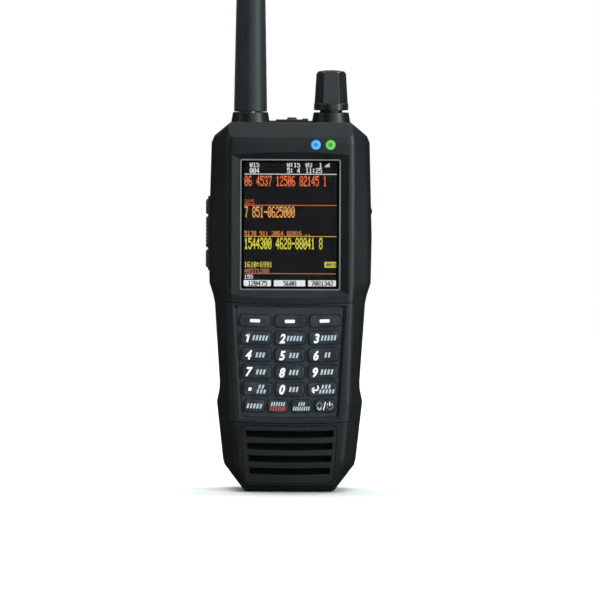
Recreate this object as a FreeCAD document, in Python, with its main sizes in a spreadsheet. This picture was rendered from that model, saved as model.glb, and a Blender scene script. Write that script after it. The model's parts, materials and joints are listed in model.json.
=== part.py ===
"""Handheld scanner radio with a keypad, colour display, whip antenna, removable battery pack and belt clip.

Row frame in millimetres: +Z up, the front of the radio faces -Y, and the origin is the centre of the footprint
it stands on, belt clip included. "Depth" is measured forward, towards -Y, from the plane that holds the antenna
and knob axes; that plane is at y = mid_y. Every size is a cell of the sheet "dims".
"""

import FreeCAD, Part
import math
import os
import re

import Sketcher
from FreeCAD import Placement, Rotation, Vector

doc = FreeCAD.newDocument("scanner_radio")
sheet = doc.addObject("Spreadsheet::Sheet", "dims")

# Outline of the case at each height: the level, the half widths of the side wall and of the front panel, the
# depths of the panel's edge and of the side facet's start, and the depth of the back.
FIELDS = ("level", "side", "ridge", "face", "cheek", "back")
STATIONS = {
    "base": (0.6, 18.5, 15.8, 13.8, 12.0, 17.0),
    "sole": (3.2, 20.5, 18.4, 16.3, 12.4, 17.6),
    "hip": (10.9, 26.5, 21.4, 16.7, 10.8, 18.0),
    "thigh": (13.2, 27.15, 21.8, 16.8, 10.6, 18.0),
    "bulge": (36.7, 29.75, 23.9, 17.0, 10.4, 18.0),
    "notch": (41.5, 28.75, 24.1, 17.0, 10.8, 18.0),
    "waist": (45.0, 28.6, 24.2, 17.0, 10.9, 18.0),
    "grip": (77.0, 30.7, 24.9, 17.1, 10.6, 18.0),
    "flare": (80.4, 31.4, 25.0, 17.1, 10.3, 18.0),
    "chest": (85.4, 33.0, 25.1, 17.0, 9.9, 18.0),
    "breast": (104.0, 33.3, 25.2, 17.0, 9.8, 18.0),
    "shoulder": (142.6, 32.3, 25.2, 17.0, 9.9, 18.0),
    "slope": (145.0, 31.3, 25.1, 16.9, 10.2, 17.9),
    "crest": (150.2, 25.1, 24.0, 16.2, 14.6, 16.8),
    "top": (151.0, 23.9, 23.0, 15.5, 14.4, 16.2),
}

DIMS = {
    # case shells
    "mid_y": -4.3,
    "parting": 9.0,
    "crown": 1.1,
    "wall": 1.9,
    "front_inside": 14.2,
    "back_cheek": 11.0,
    "back_bevel": 7.0,
    "deck_inside": 148.9,
    "floor_inside": 2.8,
    "gap": 0.12,
    "wall_round": 2.5,
    "fold_round": 1.6,
    "facet_share": 0.4,
    "cheek_share": 0.9,
    "ridge_share": 0.6,
    "bevel_share": 0.4,
    "crown_share": 0.84,
    "smile_radius": 430.0,
    "brow_radius": 240.0,
    "brow_level": 143.0,
    "brow_lean": 2.1,
    "brow_depth": 18.5,
    "brow_spread": 10.5,
    "foot_offset": 16.4,
    "foot_width": 3.2,
    "foot_height": 1.6,
    "foot_front_low": 1.5,
    "foot_front_high": 8.0,
    "foot_back_low": -15.0,
    "foot_back_high": -8.0,
    # display
    "pan_floor": 16.3,
    "pan_side_slope": 4.6,
    "pan_end_slope": 2.2,
    "pan_reach": 2.2,
    "bezel_width": 41.0,
    "bezel_top": 136.2,
    "bezel_bottom": 82.7,
    "bezel_rim": 0.55,
    "bezel_proud": 0.25,
    "lens_thickness": 1.2,
    "lens_seat": 15.1,
    "lens_corner": 0.9,
    "window_lip": 1.0,
    "lcd_back": 11.5,
    "lcd_front": 14.1,
    "lcd_margin": 1.0,
    # keypad
    "frame_top": 77.7,
    "frame_bottom": 29.1,
    "frame_top_half": 26.7,
    "frame_bottom_half": 24.4,
    "frame_corner": 2.2,
    "frame_floor": 15.6,
    "groove": 0.22,
    "throat_drop": 1.6,
    "throat_flare": 50.0,
    "opening_top": 76.7,
    "opening_bottom": 31.1,
    "opening_top_half": 21.8,
    "opening_bottom_half": 19.2,
    "opening_corner": 1.6,
    "mat_lip": 0.35,
    "mat_flange": 1.3,
    "mat_face": 16.2,
    "mat_shelf": 15.55,
    "mat_step": 14.1,
    "mat_back": 11.5,
    "key_face": 17.3,
    "key_back": 13.0,
    "key_stem_radius": 1.5,
    "key_stem_back": 12.45,
    "key_gap": 0.15,
    "key_corner": 1.5,
    "key_edge": 0.55,
    "key_top_level": 70.05,
    "key_pitch": 6.95,
    "key_width": 12.55,
    "key_taper": 0.2,
    "key_height": 5.65,
    "soft_key_height": 4.9,
    "column_pitch": 14.2,
    "column_taper": 0.24,
    "menu_key_width": 8.3,
    "menu_key_height": 5.3,
    "menu_pitch": 9.55,
    # speaker
    "grille_top": 27.4,
    "grille_bottom": 4.2,
    "grille_top_half": 19.4,
    "grille_bottom_half": 18.0,
    "grille_corner": 1.8,
    "grille_floor": 15.2,
    "slot_top": 25.2,
    "slot_count": 4,
    "slot_corner": 0.95,
    "slot_pitch": 5.08,
    "slot_half": 17.6,
    "slot_taper": 0.45,
    "slot_height": 2.2,
    "slot_flare": 20.0,
    "slot_flare_share": 0.8,
    "slot_lip": 0.4,
    "speaker_level": 15.6,
    "speaker_radius": 10.6,
    "speaker_rim_depth": 2.4,
    "dish_floor_radius": 4.8,
    "dish_rim_radius": 9.0,
    "dish_depth": 1.0,
    "magnet_radius": 6.5,
    "magnet_depth": 3.6,
    # indicator lights
    "light_level": 142.1,
    "light_first": 10.3,
    "light_pitch": 5.95,
    "light_radius": 2.2,
    "light_round": 0.9,
    "light_face": 17.3,
    "light_proud": 0.35,
    "light_back": 12.6,
    # boards
    "board_front": 11.4,
    "board_thickness": 1.2,
    "board_half": 20.6,
    "board_bottom": 30.0,
    "board_top": 140.0,
    "card_half": 7.0,
    "card_thickness": 1.6,
    "card_bottom": 32.0,
    "dome_radius": 2.2,
    "dome_height": 0.4,
    "tuner_front": 4.4,
    "tuner_thickness": 1.2,
    "tuner_half": 19.5,
    "tuner_bottom": 34.0,
    "tuner_top": 132.0,
    "shield_height": 3.0,
    # top deck: antenna and knob
    "post_offset": 16.5,
    "turret_base": 150.2,
    "turret_top": 154.8,
    "turret_base_radius": 8.0,
    "turret_top_radius": 7.2,
    "socket_radius": 3.12,
    "socket_top": 162.6,
    "socket_bottom": 144.6,
    "socket_flange_radius": 5.4,
    "socket_flange": 1.6,
    "socket_bore": 0.62,
    "socket_bore_depth": 5.0,
    "plug_bottom": 155.2,
    "plug_length": 12.5,
    "plug_radius": 4.9,
    "plug_bore": 3.2,
    "plug_bore_depth": 8.2,
    "plug_pin": 0.45,
    "plug_pin_tip": 158.2,
    "sleeve_bottom": 155.1,
    "sleeve_top": 341.0,
    "sleeve_base_radius": 6.8,
    "sleeve_tip_radius": 3.45,
    "sleeve_tip_round": 2.9,
    "sleeve_foot_round": 0.4,
    "whip_bore": 2.5,
    "whip_top": 318.0,
    "coil_radius": 1.8,
    "coil_wire": 0.35,
    "coil_pitch": 9.0,
    "coil_bottom": 168.6,
    "coil_turns": 15,
    # rotary control
    "encoder_half": 6.2,
    "encoder_bottom": 141.0,
    "encoder_height": 7.8,
    "bushing_radius": 3.9,
    "bushing_top": 156.1,
    "neck_radius": 4.6,
    "rotor_radius": 3.2,
    "rotor_bottom": 143.0,
    "rotor_top": 155.6,
    "shaft_radius": 2.2,
    "shaft_gap": 0.05,
    "shaft_bottom": 142.6,
    "shaft_top": 169.0,
    "knob_bottom": 155.8,
    "knob_skirt_radius": 7.05,
    "knob_skirt_top": 158.3,
    "knob_waist_radius": 6.85,
    "knob_shoulder": 170.5,
    "knob_shoulder_radius": 6.2,
    "knob_step": 0.3,
    "knob_crown_radius": 5.3,
    "knob_crown_drop": 0.45,
    "knob_disc_radius": 2.5,
    "knob_top": 172.1,
    "knob_recess_radius": 5.1,
    "knob_recess": 2.0,
    "knob_flats": 6,
    "knob_flat_cut": 0.95,
    "knob_flat_width": 10.0,
    "knob_draft": 3.0,
    "knob_round": 0.8,
    "knob_line_half": 0.35,
    "knob_line_start": 2.4,
    # earphone socket and its cap
    "jack_x": 0.5,
    "jack_radius": 1.8,
    "jack_body_radius": 3.4,
    "jack_bottom": 136.5,
    "deck_hole": 2.0,
    "cap_half": 6.6,
    "cap_depth_half": 4.2,
    "cap_bottom": 151.05,
    "cap_thickness": 0.8,
    "cap_disc_radius": 2.7,
    "cap_disc_height": 0.9,
    "cap_crown_radius": 1.7,
    "cap_tab_width": 2.4,
    "cap_tab_back": -1.6,
    "cap_tab_front": 2.6,
    "cap_tab_proud": 0.45,
    "cap_plug_radius": 1.2,
    "cap_plug_length": 0.9,
    # side keys on the left wall
    "side_mat_top": 120.4,
    "side_mat_bottom": 90.3,
    "side_mat_front": 6.6,
    "side_mat_back": -2.4,
    "side_mat_face": 33.65,
    "side_mat_inside": 30.4,
    "side_mat_flange_out": 30.9,
    "side_mat_flange_in": 29.6,
    "side_key_face": 34.55,
    "side_key_inside": 30.9,
    "side_key_edge": 0.9,
    "side_key_corner": 1.2,
    "side_key_front": 5.8,
    "side_key_back": -1.5,
    "side_key_high": 119.4,
    "side_key_mid_high": 112.2,
    "side_key_mid_low": 99.5,
    "side_key_low": 91.3,
    "side_key_split": 0.9,
    "rib_pitch": 1.5,
    "rib_count": 7,
    "rib_depth": 0.3,
    "rib_width": 0.5,
    # data port on the right wall
    "port_top": 116.0,
    "port_bottom": 97.0,
    "port_front": 6.4,
    "port_back": -2.4,
    "port_face": 33.1,
    "port_thickness": 1.3,
    "port_lip_proud": 0.35,
    "port_lip_inset": 2.0,
    "port_lip_height": 1.6,
    "port_lip_drop": 0.8,
    "port_gap": 0.16,
    "port_pocket": 31.5,
    "usb_half_height": 4.0,
    "usb_half_depth": 1.45,
    "usb_shell": 0.35,
    "usb_length": 5.6,
    "usb_tongue_half": 0.35,
    "usb_tongue_inset": 1.2,
    "usb_level": 107.5,
    # battery pack
    "bay_top": 112.0,
    "bay_floor": 5.0,
    "bay_inside": 3.0,
    "pack_top": 111.6,
    "pack_bottom": 0.6,
    "lid_front": 5.25,
    "lid_thickness": 1.5,
    "pack_cavity_half": 18.2,
    "pack_cavity_bottom": 9.6,
    "pack_cavity_top": 109.6,
    "pack_cavity_back": 16.4,
    "cell_half": 17.4,
    "cell_height": 49.4,
    "cell_gap": 0.4,
    "pin_level": 14.5,
    "pin_pitch": 5.0,
    "pin_radius": 0.9,
    "pin_count": 4,
    "latch_half": 6.0,
    "latch_bottom": 16.0,
    "latch_top": 22.0,
    "latch_travel": 2.4,
    "latch_depth": 0.9,
    "latch_proud": 0.6,
    "latch_gap": 0.3,
    "latch_rib_pitch": 1.5,
    "latch_rib_count": 3,
    # belt clip on the upper back
    "clip_seat": 18.0,
    "bracket_half": 11.0,
    "bracket_bottom": 115.5,
    "bracket_top": 137.0,
    "bracket_thickness": 1.8,
    "bracket_corner": 1.5,
    "ear_thickness": 2.0,
    "ear_radius": 3.0,
    "clip_axis_level": 124.0,
    "clip_axis_depth": 22.6,
    "clip_pin_radius": 1.2,
    "clip_half": 8.7,
    "clip_barrel_radius": 2.5,
    "clip_slot_half": 3.0,
    "clip_slot_depth": 2.4,
    "clip_slot_reach": 3.5,
    "clip_sheet": 2.0,
    "clip_foot": 67.0,
    "clip_tab_top": 135.5,
    "spring_radius": 1.75,
    "spring_wire": 0.32,
    "spring_turns": 4,
    "spring_pitch": 0.9,
    # fasteners
    "screw_low_x": 21.0,
    "screw_high_x": 25.0,
    "screw_low": 24.0,
    "screw_high": 97.5,
    "screw_head_radius": 1.9,
    "screw_head": 1.4,
    "screw_radius": 1.0,
    "screw_tip": 12.6,
    "boss_radius": 2.4,
    "clip_screw_x": 6.0,
    "clip_screw_level": 132.2,
    "clip_screw_length": 7.0,
    # gasket between the shells
    "gasket_outer": 0.75,
    "gasket_inner": 1.45,
    "gasket_height": 0.6,
}

for station, numbers in STATIONS.items():
    for field, number in zip(FIELDS, numbers):
        DIMS[f"{station}_{field}"] = number
for row, (alias, number) in enumerate(DIMS.items(), start=1):
    sheet.set(f"A{row}", alias)
    sheet.set(f"B{row}", str(number))
    sheet.setAlias(f"B{row}", alias)
doc.recompute()

WORD = re.compile(r"[a-z_]+[a-z]")


def formula(text):
    """An expression for FreeCAD, in which each cell's alias is written without its sheet."""
    return WORD.sub(lambda found: f"dims.{found[0]}" if found[0] in DIMS else found[0], str(text))


def value(text):
    """What an expression over the sheet's cells comes to, as a number."""
    return float(sheet.evalExpression(formula(text)))


def bind(thing, expressions):
    """Gives each property of a document object the expression that sets it."""
    for path, text in expressions.items():
        thing.setExpression(path, formula(text))
    return thing


def block(name, x, depth, z):
    """A Part::Box from (low, high) expressions across, forward and up."""
    box = doc.addObject("Part::Box", name)
    return bind(box, {
        "Length": f"({x[1]}) - ({x[0]})",
        "Width": f"({depth[1]}) - ({depth[0]})",
        "Height": f"({z[1]}) - ({z[0]})",
        "Placement.Base.x": x[0],
        "Placement.Base.y": f"mid_y - ({depth[1]})",
        "Placement.Base.z": z[0],
    })


TURNS = {
    "up": Rotation(),
    "front": Rotation(Vector(1, 0, 0), 90),
    "right": Rotation(Vector(0, 1, 0), 90),
}


def rod(name, radius, length, x="0", depth="0", z="0", axis="up", top_radius=None):
    """A Part::Cylinder, or a Part::Cone if it has a top radius, that starts at (x, depth, z) along its axis."""
    kind = "Part::Cone" if top_radius else "Part::Cylinder"
    piece = doc.addObject(kind, name)
    piece.Placement = Placement(Vector(), TURNS[axis])
    sizes = {"Radius1": radius, "Radius2": top_radius} if top_radius else {"Radius": radius}
    return bind(piece, {
        **sizes,
        "Height": length,
        "Placement.Base.x": x,
        "Placement.Base.y": f"mid_y - ({depth})",
        "Placement.Base.z": z,
    })


def fuse(name, pieces):
    """The union of several objects."""
    joined = doc.addObject("Part::MultiFuse", name)
    joined.Shapes = list(pieces)
    return joined


def cut(name, base, tools):
    """A base with one or more tools taken out of it."""
    tools = list(tools)
    result = doc.addObject("Part::Cut", name)
    result.Base = base
    result.Tool = tools[0] if len(tools) == 1 else fuse(f"{name}_tools", tools)
    return result


def common(name, one, other):
    """What two objects share."""
    shared = doc.addObject("Part::Common", name)
    shared.Base, shared.Tool = one, other
    return shared


def group(name, pieces):
    """Several separate solids that are one node."""
    together = doc.addObject("Part::Compound", name)
    together.Links = list(pieces)
    return together


SUB_PARTS = []


def sub_part(piece, label):
    """Marks an object as one sub-part of the radio, whose label names its node."""
    piece.Label = label
    SUB_PARTS.append(piece)
    return piece


def plane(body, role):
    """One of a body's origin planes, found by its role."""
    return next(feature for feature in body.Origin.OriginFeatures if feature.Role == role)


def sketch_on(body, role, name, offset):
    """A new sketch in a body, on an origin plane moved along its normal by an expression."""
    sketch = body.newObject("Sketcher::SketchObject", name)
    sketch.AttachmentSupport = (plane(body, role), [""])
    sketch.MapMode = "FlatFace"
    sketch.setExpression("AttachmentOffset.Base.z", formula(offset))
    return sketch


def pin_point(sketch, geometry, end, x, y):
    """Holds one end of a line or arc at (x, y), each an expression over the sheet."""
    for kind, text in (("DistanceX", x), ("DistanceY", y)):
        index = sketch.addConstraint(Sketcher.Constraint(kind, -1, 1, geometry, end, value(text)))
        sketch.setExpression(f"Constraints[{index}]", formula(text))


def polygon(sketch, corners):
    """Closes straight lines through corners, each a pair of expressions."""
    points = [Vector(value(x), value(y), 0) for x, y in corners]
    for i, point in enumerate(points):
        sketch.addGeometry(Part.LineSegment(point, points[(i + 1) % len(points)]), False)
    for i, (x, y) in enumerate(corners):
        sketch.addConstraint(Sketcher.Constraint("Coincident", i - 1 if i else len(points) - 1, 2, i, 1))
        pin_point(sketch, i, 1, x, y)


def bowed(sketch, top, bottom, top_half, bottom_half):
    """A tapered outline with straight sides, whose top and bottom edges sag along the common smile radius."""
    radius = value("smile_radius")
    corners = [Vector(sign * value(half), value(level), 0)
               for level, half in ((top, top_half), (bottom, bottom_half)) for sign in (-1, 1)]
    for left, right in (corners[:2], corners[2:]):
        lean = math.asin(right.x / radius)
        circle = Part.Circle(Vector(0, right.y + radius * math.cos(lean), 0), Vector(0, 0, 1), radius)
        arc = Part.ArcOfCircle(circle, 1.5 * math.pi - lean, 1.5 * math.pi + lean)
        index = sketch.addGeometry(arc, False)
        bend = sketch.addConstraint(Sketcher.Constraint("Radius", index, radius))
        sketch.setExpression(f"Constraints[{bend}]", formula("smile_radius"))
    sketch.addGeometry(Part.LineSegment(corners[0], corners[2]), False)
    sketch.addGeometry(Part.LineSegment(corners[1], corners[3]), False)
    for line, arc_end in ((2, 1), (3, 2)):
        sketch.addConstraint(Sketcher.Constraint("Coincident", line, 1, 0, arc_end))
        sketch.addConstraint(Sketcher.Constraint("Coincident", line, 2, 1, arc_end))
    for line, sign in ((2, "-"), (3, "")):
        pin_point(sketch, line, 1, f"{sign}({top_half})", top)
        pin_point(sketch, line, 2, f"{sign}({bottom_half})", bottom)


def pad(body, sketch, length, taper=0):
    """Extrudes a sketch along its plane's normal, wider towards the far end if there is a taper in degrees."""
    feature = body.newObject("PartDesign::Pad", f"{sketch.Name}_pad")
    feature.Profile = sketch
    feature.TaperAngle = taper
    feature.setExpression("Length", formula(length))
    doc.recompute()
    return feature


def edges_along(shape, direction):
    """Names of the straight edges that run along a direction."""
    found = []
    for i, edge in enumerate(shape.Edges, start=1):
        if edge.Curve.TypeId == "Part::GeomLine" and edge.tangentAt(0).cross(direction).Length < 1e-6:
            found.append(f"Edge{i}")
    return found


def edges_at(shape, axis, level):
    """Names of the edges that lie wholly in the plane where a coordinate (0, 1 or 2) has a value."""
    found = []
    for i, edge in enumerate(shape.Edges, start=1):
        box = edge.BoundBox
        low, high = ((box.XMin, box.XMax), (box.YMin, box.YMax), (box.ZMin, box.ZMax))[axis]
        if abs(low - level) < 1e-4 and abs(high - level) < 1e-4:
            found.append(f"Edge{i}")
    return found


def ease(body, edges, radius):
    """Rounds the named edges of a body's tip by an expression."""
    base = body.Tip
    feature = body.newObject("PartDesign::Fillet", f"{body.Name}_fillet")
    feature.Base = (base, edges)
    feature.setExpression("Radius", formula(radius))
    doc.recompute()
    return feature


FORWARD = Vector(0, 1, 0)
CORNERS = (("-", "-"), ("", "-"), ("", ""), ("-", ""))


def bowed_plate(name, depth, top, bottom, halves, corner=None, taper=0):
    """A body: a bowed outline from depth[0] forward to depth[1], with rounded corners or a taper."""
    body = doc.addObject("PartDesign::Body", name)
    sketch = sketch_on(body, "XZ_Plane", f"{name}_outline", f"{depth[0]} - mid_y")
    bowed(sketch, top, bottom, *halves)
    pad(body, sketch, f"({depth[1]}) - ({depth[0]})", taper)
    if corner:
        ease(body, edges_along(body.Shape, FORWARD), corner)
    return body


def rounded_plate(name, depth, width, height, corner, edge=None, x="0", z="0", turn=Rotation()):
    """A body: a rounded rectangle from depth[0] forward to depth[1], its rim rounded, centred at (x, z)."""
    body = doc.addObject("PartDesign::Body", name)
    sketch = sketch_on(body, "XZ_Plane", f"{name}_outline", depth[0])
    polygon(sketch, [(f"{across}({width}) / 2", f"{up}({height}) / 2") for across, up in CORNERS])
    pad(body, sketch, f"({depth[1]}) - ({depth[0]})")
    ease(body, edges_along(body.Shape, FORWARD), corner)
    if edge:
        ease(body, edges_at(body.Shape, 1, value(f"-({depth[1]})")), edge)
    body.Placement = Placement(Vector(), turn)
    return bind(body, {"Placement.Base.x": x, "Placement.Base.y": "mid_y", "Placement.Base.z": z})


def turned(name, profile, x, depth="0"):
    """A body turned about a vertical axis at (x, depth), from its half section: a list of (radius, level)."""
    body = doc.addObject("PartDesign::Body", name)
    sketch = sketch_on(body, "XZ_Plane", f"{name}_section", "0")
    polygon(sketch, profile)
    spin = body.newObject("PartDesign::Revolution", f"{name}_turn")
    spin.Profile = sketch
    spin.ReferenceAxis = (sketch, ["V_Axis"])
    spin.Angle = 360
    doc.recompute()
    return bind(body, {"Placement.Base.x": x, "Placement.Base.y": f"mid_y - ({depth})"})


# ---------------------------------------------------------------- the case's outer form

def ring(corners, level):
    """A closed wire at a level through (x, depth, tangent length) corners, each rounded by an arc."""
    middle = value("mid_y")
    points = [Vector(x, middle - depth, level) for x, depth, _ in corners]
    arcs = []
    for i, point in enumerate(points):
        tangent = corners[i][2]
        before = (points[i - 1] - point).normalize()
        after = (points[(i + 1) % len(points)] - point).normalize()
        half = before.getAngle(after) / 2
        inward = (before + after).normalize()
        apex = point + inward * (tangent * (1 - math.sin(half)) / math.cos(half))
        arcs.append((point + before * tangent, apex, point + after * tangent))
    edges = []
    for i, (start, apex, end) in enumerate(arcs):
        edges.append(Part.Arc(start, apex, end).toShape())
        edges.append(Part.makeLine(end, arcs[(i + 1) % len(arcs)][0]))
    return Part.Wire(edges)


def section(side, ridge, face, cheek, back, inset):
    """The corners of the case's cross-section, drawn in by an inset: crown, facets, walls, back bevels."""
    crown = face + value("crown")
    broad = value("wall_round")
    facet = math.hypot(side - ridge, face - cheek)
    soft = min(broad, value("facet_share") * facet)
    fold = min(value("fold_round"), value("facet_share") * facet)
    right = [
        (side - inset, -value("back_cheek"), broad),
        (side - inset, cheek - inset * value("cheek_share"), soft),
        (ridge - inset * value("ridge_share"), face - inset, fold),
    ]
    left = [(-x, depth, tangent) for x, depth, tangent in reversed(right)]
    rear_half = side - value("back_bevel") - inset * value("bevel_share")
    rear = [(-rear_half, -(back - inset), broad), (rear_half, -(back - inset), broad)]
    return right + [(0, crown - inset, value("crown_share") * ridge)] + left + rear


def skin(name, inset=0.0):
    """The case's outer form, lofted through its stations, or the same form drawn in by an inset."""
    wires = []
    for station in STATIONS:
        level, side, ridge, face, cheek, back = (value(f"{station}_{field}") for field in FIELDS)
        wires.append(ring(section(side, ridge, face, cheek, back, inset), level))
    form = doc.addObject("Part::Feature", name)
    form.Shape = Part.makeLoft(wires, True, True)
    return form


FAR = "60"
outer_form = skin("outer_form")
inner_form = skin("inner_form", value("wall"))


def slab(name, form, depth, z=("-1", "200")):
    """The part of a form between two depths and two levels."""
    return common(name, form, block(f"{name}_extent", (f"-{FAR}", FAR), depth, z))


def key_arc(angle, drop):
    """Where a key sits on its smile curve: x and level, for an angle and the curve's lowest level."""
    radius = value("smile_radius")
    return radius * math.sin(angle), drop + radius * (1 - math.cos(angle))


# ---------------------------------------------------------------- cutters shared by several pieces

def screw_places():
    """The x and level expressions of the four case screws."""
    return [(f"{sign}{level}_x", level) for level in ("screw_low", "screw_high") for sign in ("-", "")]


def foot(name, side, depth):
    """One foot pad under the case, at a side ("-" or ""), between two depths."""
    centre = f"{side}foot_offset"
    across = (f"{centre} - foot_width / 2", f"{centre} + foot_width / 2")
    return block(name, across, depth, ("0", "foot_height"))


def bezel_plate(name, depth, grow, corner):
    """A rounded rectangle around the display, larger than the bezel's outline by grow on each side."""
    middle = "(bezel_top + bezel_bottom) / 2"
    height = f"bezel_top - bezel_bottom + 2 * ({grow})"
    return rounded_plate(name, depth, f"bezel_width + 2 * ({grow})", height, corner, z=middle)


def grown_plate(part, name, depth, grow):
    """The bowed outline of the "opening" of the keypad, its "frame" or the "grille", grown on each side."""
    halves = (f"{part}_top_half + {grow}", f"{part}_bottom_half + {grow}")
    levels = (f"{part}_top + {grow}", f"{part}_bottom - ({grow})")
    return bowed_plate(name, depth, *levels, halves, f"{part}_corner")


# ---------------------------------------------------------------- front case

front_block = slab("front_block", outer_form, ("parting", FAR))
front_cavity = slab("front_cavity", inner_form, ("parting - 1", "front_inside"),
                    ("floor_inside", "deck_inside"))

# the leaning brow above the display is cut by a wide cone, so that its lower crease is an arch
brow_cone = rod("brow_cone", "brow_radius + brow_lean * brow_spread", "brow_depth - parting + 1",
                depth="parting - 1", z="brow_level - brow_radius", axis="front", top_radius="brow_radius")
browed_block = common("browed_block", front_block, brow_cone)

display_pan = doc.addObject("Part::Wedge", "display_pan")
bind(display_pan, {
    "Xmin": "-(bezel_width / 2 + pan_reach * pan_side_slope)",
    "Xmax": "bezel_width / 2 + pan_reach * pan_side_slope",
    "Zmin": "bezel_bottom - pan_reach * pan_end_slope",
    "Zmax": "bezel_top + pan_reach * pan_end_slope",
    "X2min": "-bezel_width / 2",
    "X2max": "bezel_width / 2",
    "Z2min": "bezel_bottom",
    "Z2max": "bezel_top",
    "Ymin": "mid_y - pan_floor - pan_reach",
    "Ymax": "mid_y - pan_floor",
})
window = bezel_plate("window", ("front_inside - 1", "lens_seat + 0.1"), "-(window_lip + bezel_rim)",
                     "lens_corner")
lens_rebate = bezel_plate("lens_rebate", ("lens_seat", FAR), "gap", "lens_corner")
frame_pocket = grown_plate("frame", "frame_pocket", ("frame_floor", FAR), "groove")
mat_opening = grown_plate("opening", "mat_opening", ("front_inside - 1", "frame_floor + 0.1"), "mat_lip + gap")
grille_pocket = grown_plate("grille", "grille_pocket", ("grille_floor", FAR), "groove")
sound_opening = grown_plate("grille", "sound_opening", ("front_inside - 1", "grille_floor + 0.1"),
                            "-mat_flange")
light_holes = [
    rod(f"light_hole_{i}", "light_radius + gap / 2", FAR, x=f"light_first + {i} * light_pitch",
        depth="front_inside - 1", z="light_level", axis="front")
    for i in range(2)
]
bosses = [
    rod(f"case_boss_{i}", "boss_radius", "front_inside + bay_inside - gap + 0.2", x=x, z=level,
        depth="gap - bay_inside", axis="front")
    for i, (x, level) in enumerate(screw_places())
]
pilots = [
    rod(f"case_pilot_{i}", "screw_radius", "screw_tip + bay_floor + 0.2", x=x, z=level,
        depth="-bay_floor", axis="front")
    for i, (x, level) in enumerate(screw_places())
]
front_shell = cut("front_shell", browed_block, [front_cavity])
front_body = fuse("front_body", [front_shell] + bosses)
front_tools = [display_pan, window, lens_rebate, frame_pocket, mat_opening, grille_pocket, sound_opening]
sub_part(cut("front_case_cut", front_body, front_tools + light_holes + pilots), "front_case")

# ---------------------------------------------------------------- display

bezel_ring = bezel_plate("bezel_ring", ("lens_seat", "pan_floor + bezel_proud"), "0", "lens_corner")
bezel_hole = bezel_plate("bezel_hole", ("lens_seat - 1", FAR), "-bezel_rim", "lens_corner / 2")
sub_part(cut("display_bezel_cut", bezel_ring, [bezel_hole]), "display_bezel")
lens_depth = ("lens_seat", "lens_seat + lens_thickness")
sub_part(bezel_plate("lens_plate", lens_depth, "-bezel_rim", "lens_corner / 2"), "display_lens")
sub_part(bezel_plate("lcd_plate", ("lcd_back", "lcd_front"), "lcd_margin", "lens_corner"), "lcd_panel")

# ---------------------------------------------------------------- keypad

frame_blank = common("frame_blank", outer_form,
                     grown_plate("frame", "frame_outline", ("frame_floor", FAR), "0"))
frame_opening = grown_plate("opening", "frame_opening", ("frame_floor - 1", FAR), "0")
frame_throat = bowed_plate("frame_throat", ("mat_face - gap", "key_face + 2"), "opening_top - throat_drop",
                           "opening_bottom + gap", ("opening_top_half", "opening_bottom_half"),
                           taper=value("throat_flare"))
sub_part(cut("keypad_frame_cut", frame_blank, [frame_opening, frame_throat]), "keypad_frame")

ROWS = [
    ("soft_key_left", "soft_key_centre", "soft_key_right"),
    ("key_one", "key_two", "key_three"),
    ("key_four", "key_five", "key_six"),
    ("key_seven", "key_eight", "key_nine"),
    ("key_point", "key_zero", "key_enter"),
    ("key_function", "key_recall", "key_store", "key_light"),
]


def key_sizes(row):
    """The width, height and column pitch expressions of a row's keys."""
    if row == len(ROWS) - 1:
        return "menu_key_width", "menu_key_height", "menu_pitch"
    height = "key_height" if row else "soft_key_height"
    return f"key_width - {row} * key_taper", height, f"column_pitch - {row} * column_taper"


def key_solid(name, row, column, grow):
    """One key's cap, or the hole around it if it grows, on its row's smile curve."""
    width, height, pitch = key_sizes(row)
    offset = column - (len(ROWS[row]) - 1) / 2
    angle = math.asin(offset * value(pitch) / value("smile_radius"))
    edge = None if grow else "key_edge"
    depth = ("mat_back - 1", "mat_face + 1") if grow else ("key_back", "key_face")
    spread = "2 * key_gap" if grow else "0"
    plate = rounded_plate(name, depth, f"{width} + {spread}", f"{height} + {spread}", "key_corner", edge)
    x, level = key_arc(angle, value(f"key_top_level - {row} * key_pitch"))
    plate.setExpression("Placement.Base.z", None)
    plate.setExpression("Placement.Base.x", None)
    tilt = Rotation(Vector(0, 1, 0), -math.degrees(angle))
    plate.Placement = Placement(Vector(x, value("mid_y"), level), tilt)
    return plate


def key_stem(cap):
    """The short post under a key's cap that presses its dome."""
    sketch = sketch_on(cap, "XZ_Plane", f"{cap.Name}_stem", "key_stem_back")
    circle = Part.Circle(Vector(), Vector(0, 0, 1), value("key_stem_radius"))
    sketch.addGeometry(circle, False)
    sketch.addConstraint(Sketcher.Constraint("Coincident", 0, 3, -1, 1))
    size = sketch.addConstraint(Sketcher.Constraint("Radius", 0, circle.Radius))
    sketch.setExpression(f"Constraints[{size}]", "dims.key_stem_radius")
    pad(cap, sketch, "key_back - key_stem_back")


key_holes = []
domes = []
for row, names in enumerate(ROWS):
    for column, key_name in enumerate(names):
        cap = key_solid(f"{key_name}_cap", row, column, grow=False)
        key_stem(cap)
        sub_part(cap, key_name)
        key_holes.append(key_solid(f"{key_name}_hole", row, column, grow=True))
        dome = rod(f"{key_name}_dome", "dome_radius", "dome_height", axis="front", depth="board_front")
        dome.Placement.Base = cap.Placement.Base
        dome.setExpression("Placement.Base.x", None)
        dome.setExpression("Placement.Base.z", None)
        domes.append(dome)

mat_plateau = grown_plate("opening", "mat_plateau", ("mat_back", "mat_face"), "-gap")
mat_shelf = grown_plate("opening", "mat_shelf_plate", ("mat_back", "mat_shelf"), "mat_lip")
mat_skirt = grown_plate("opening", "mat_skirt", ("mat_back", "mat_step"), "mat_flange")
sub_part(cut("keypad_mat_cut", fuse("mat_body", [mat_plateau, mat_shelf, mat_skirt]), key_holes), "keypad_mat")

# ---------------------------------------------------------------- speaker and grille

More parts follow.
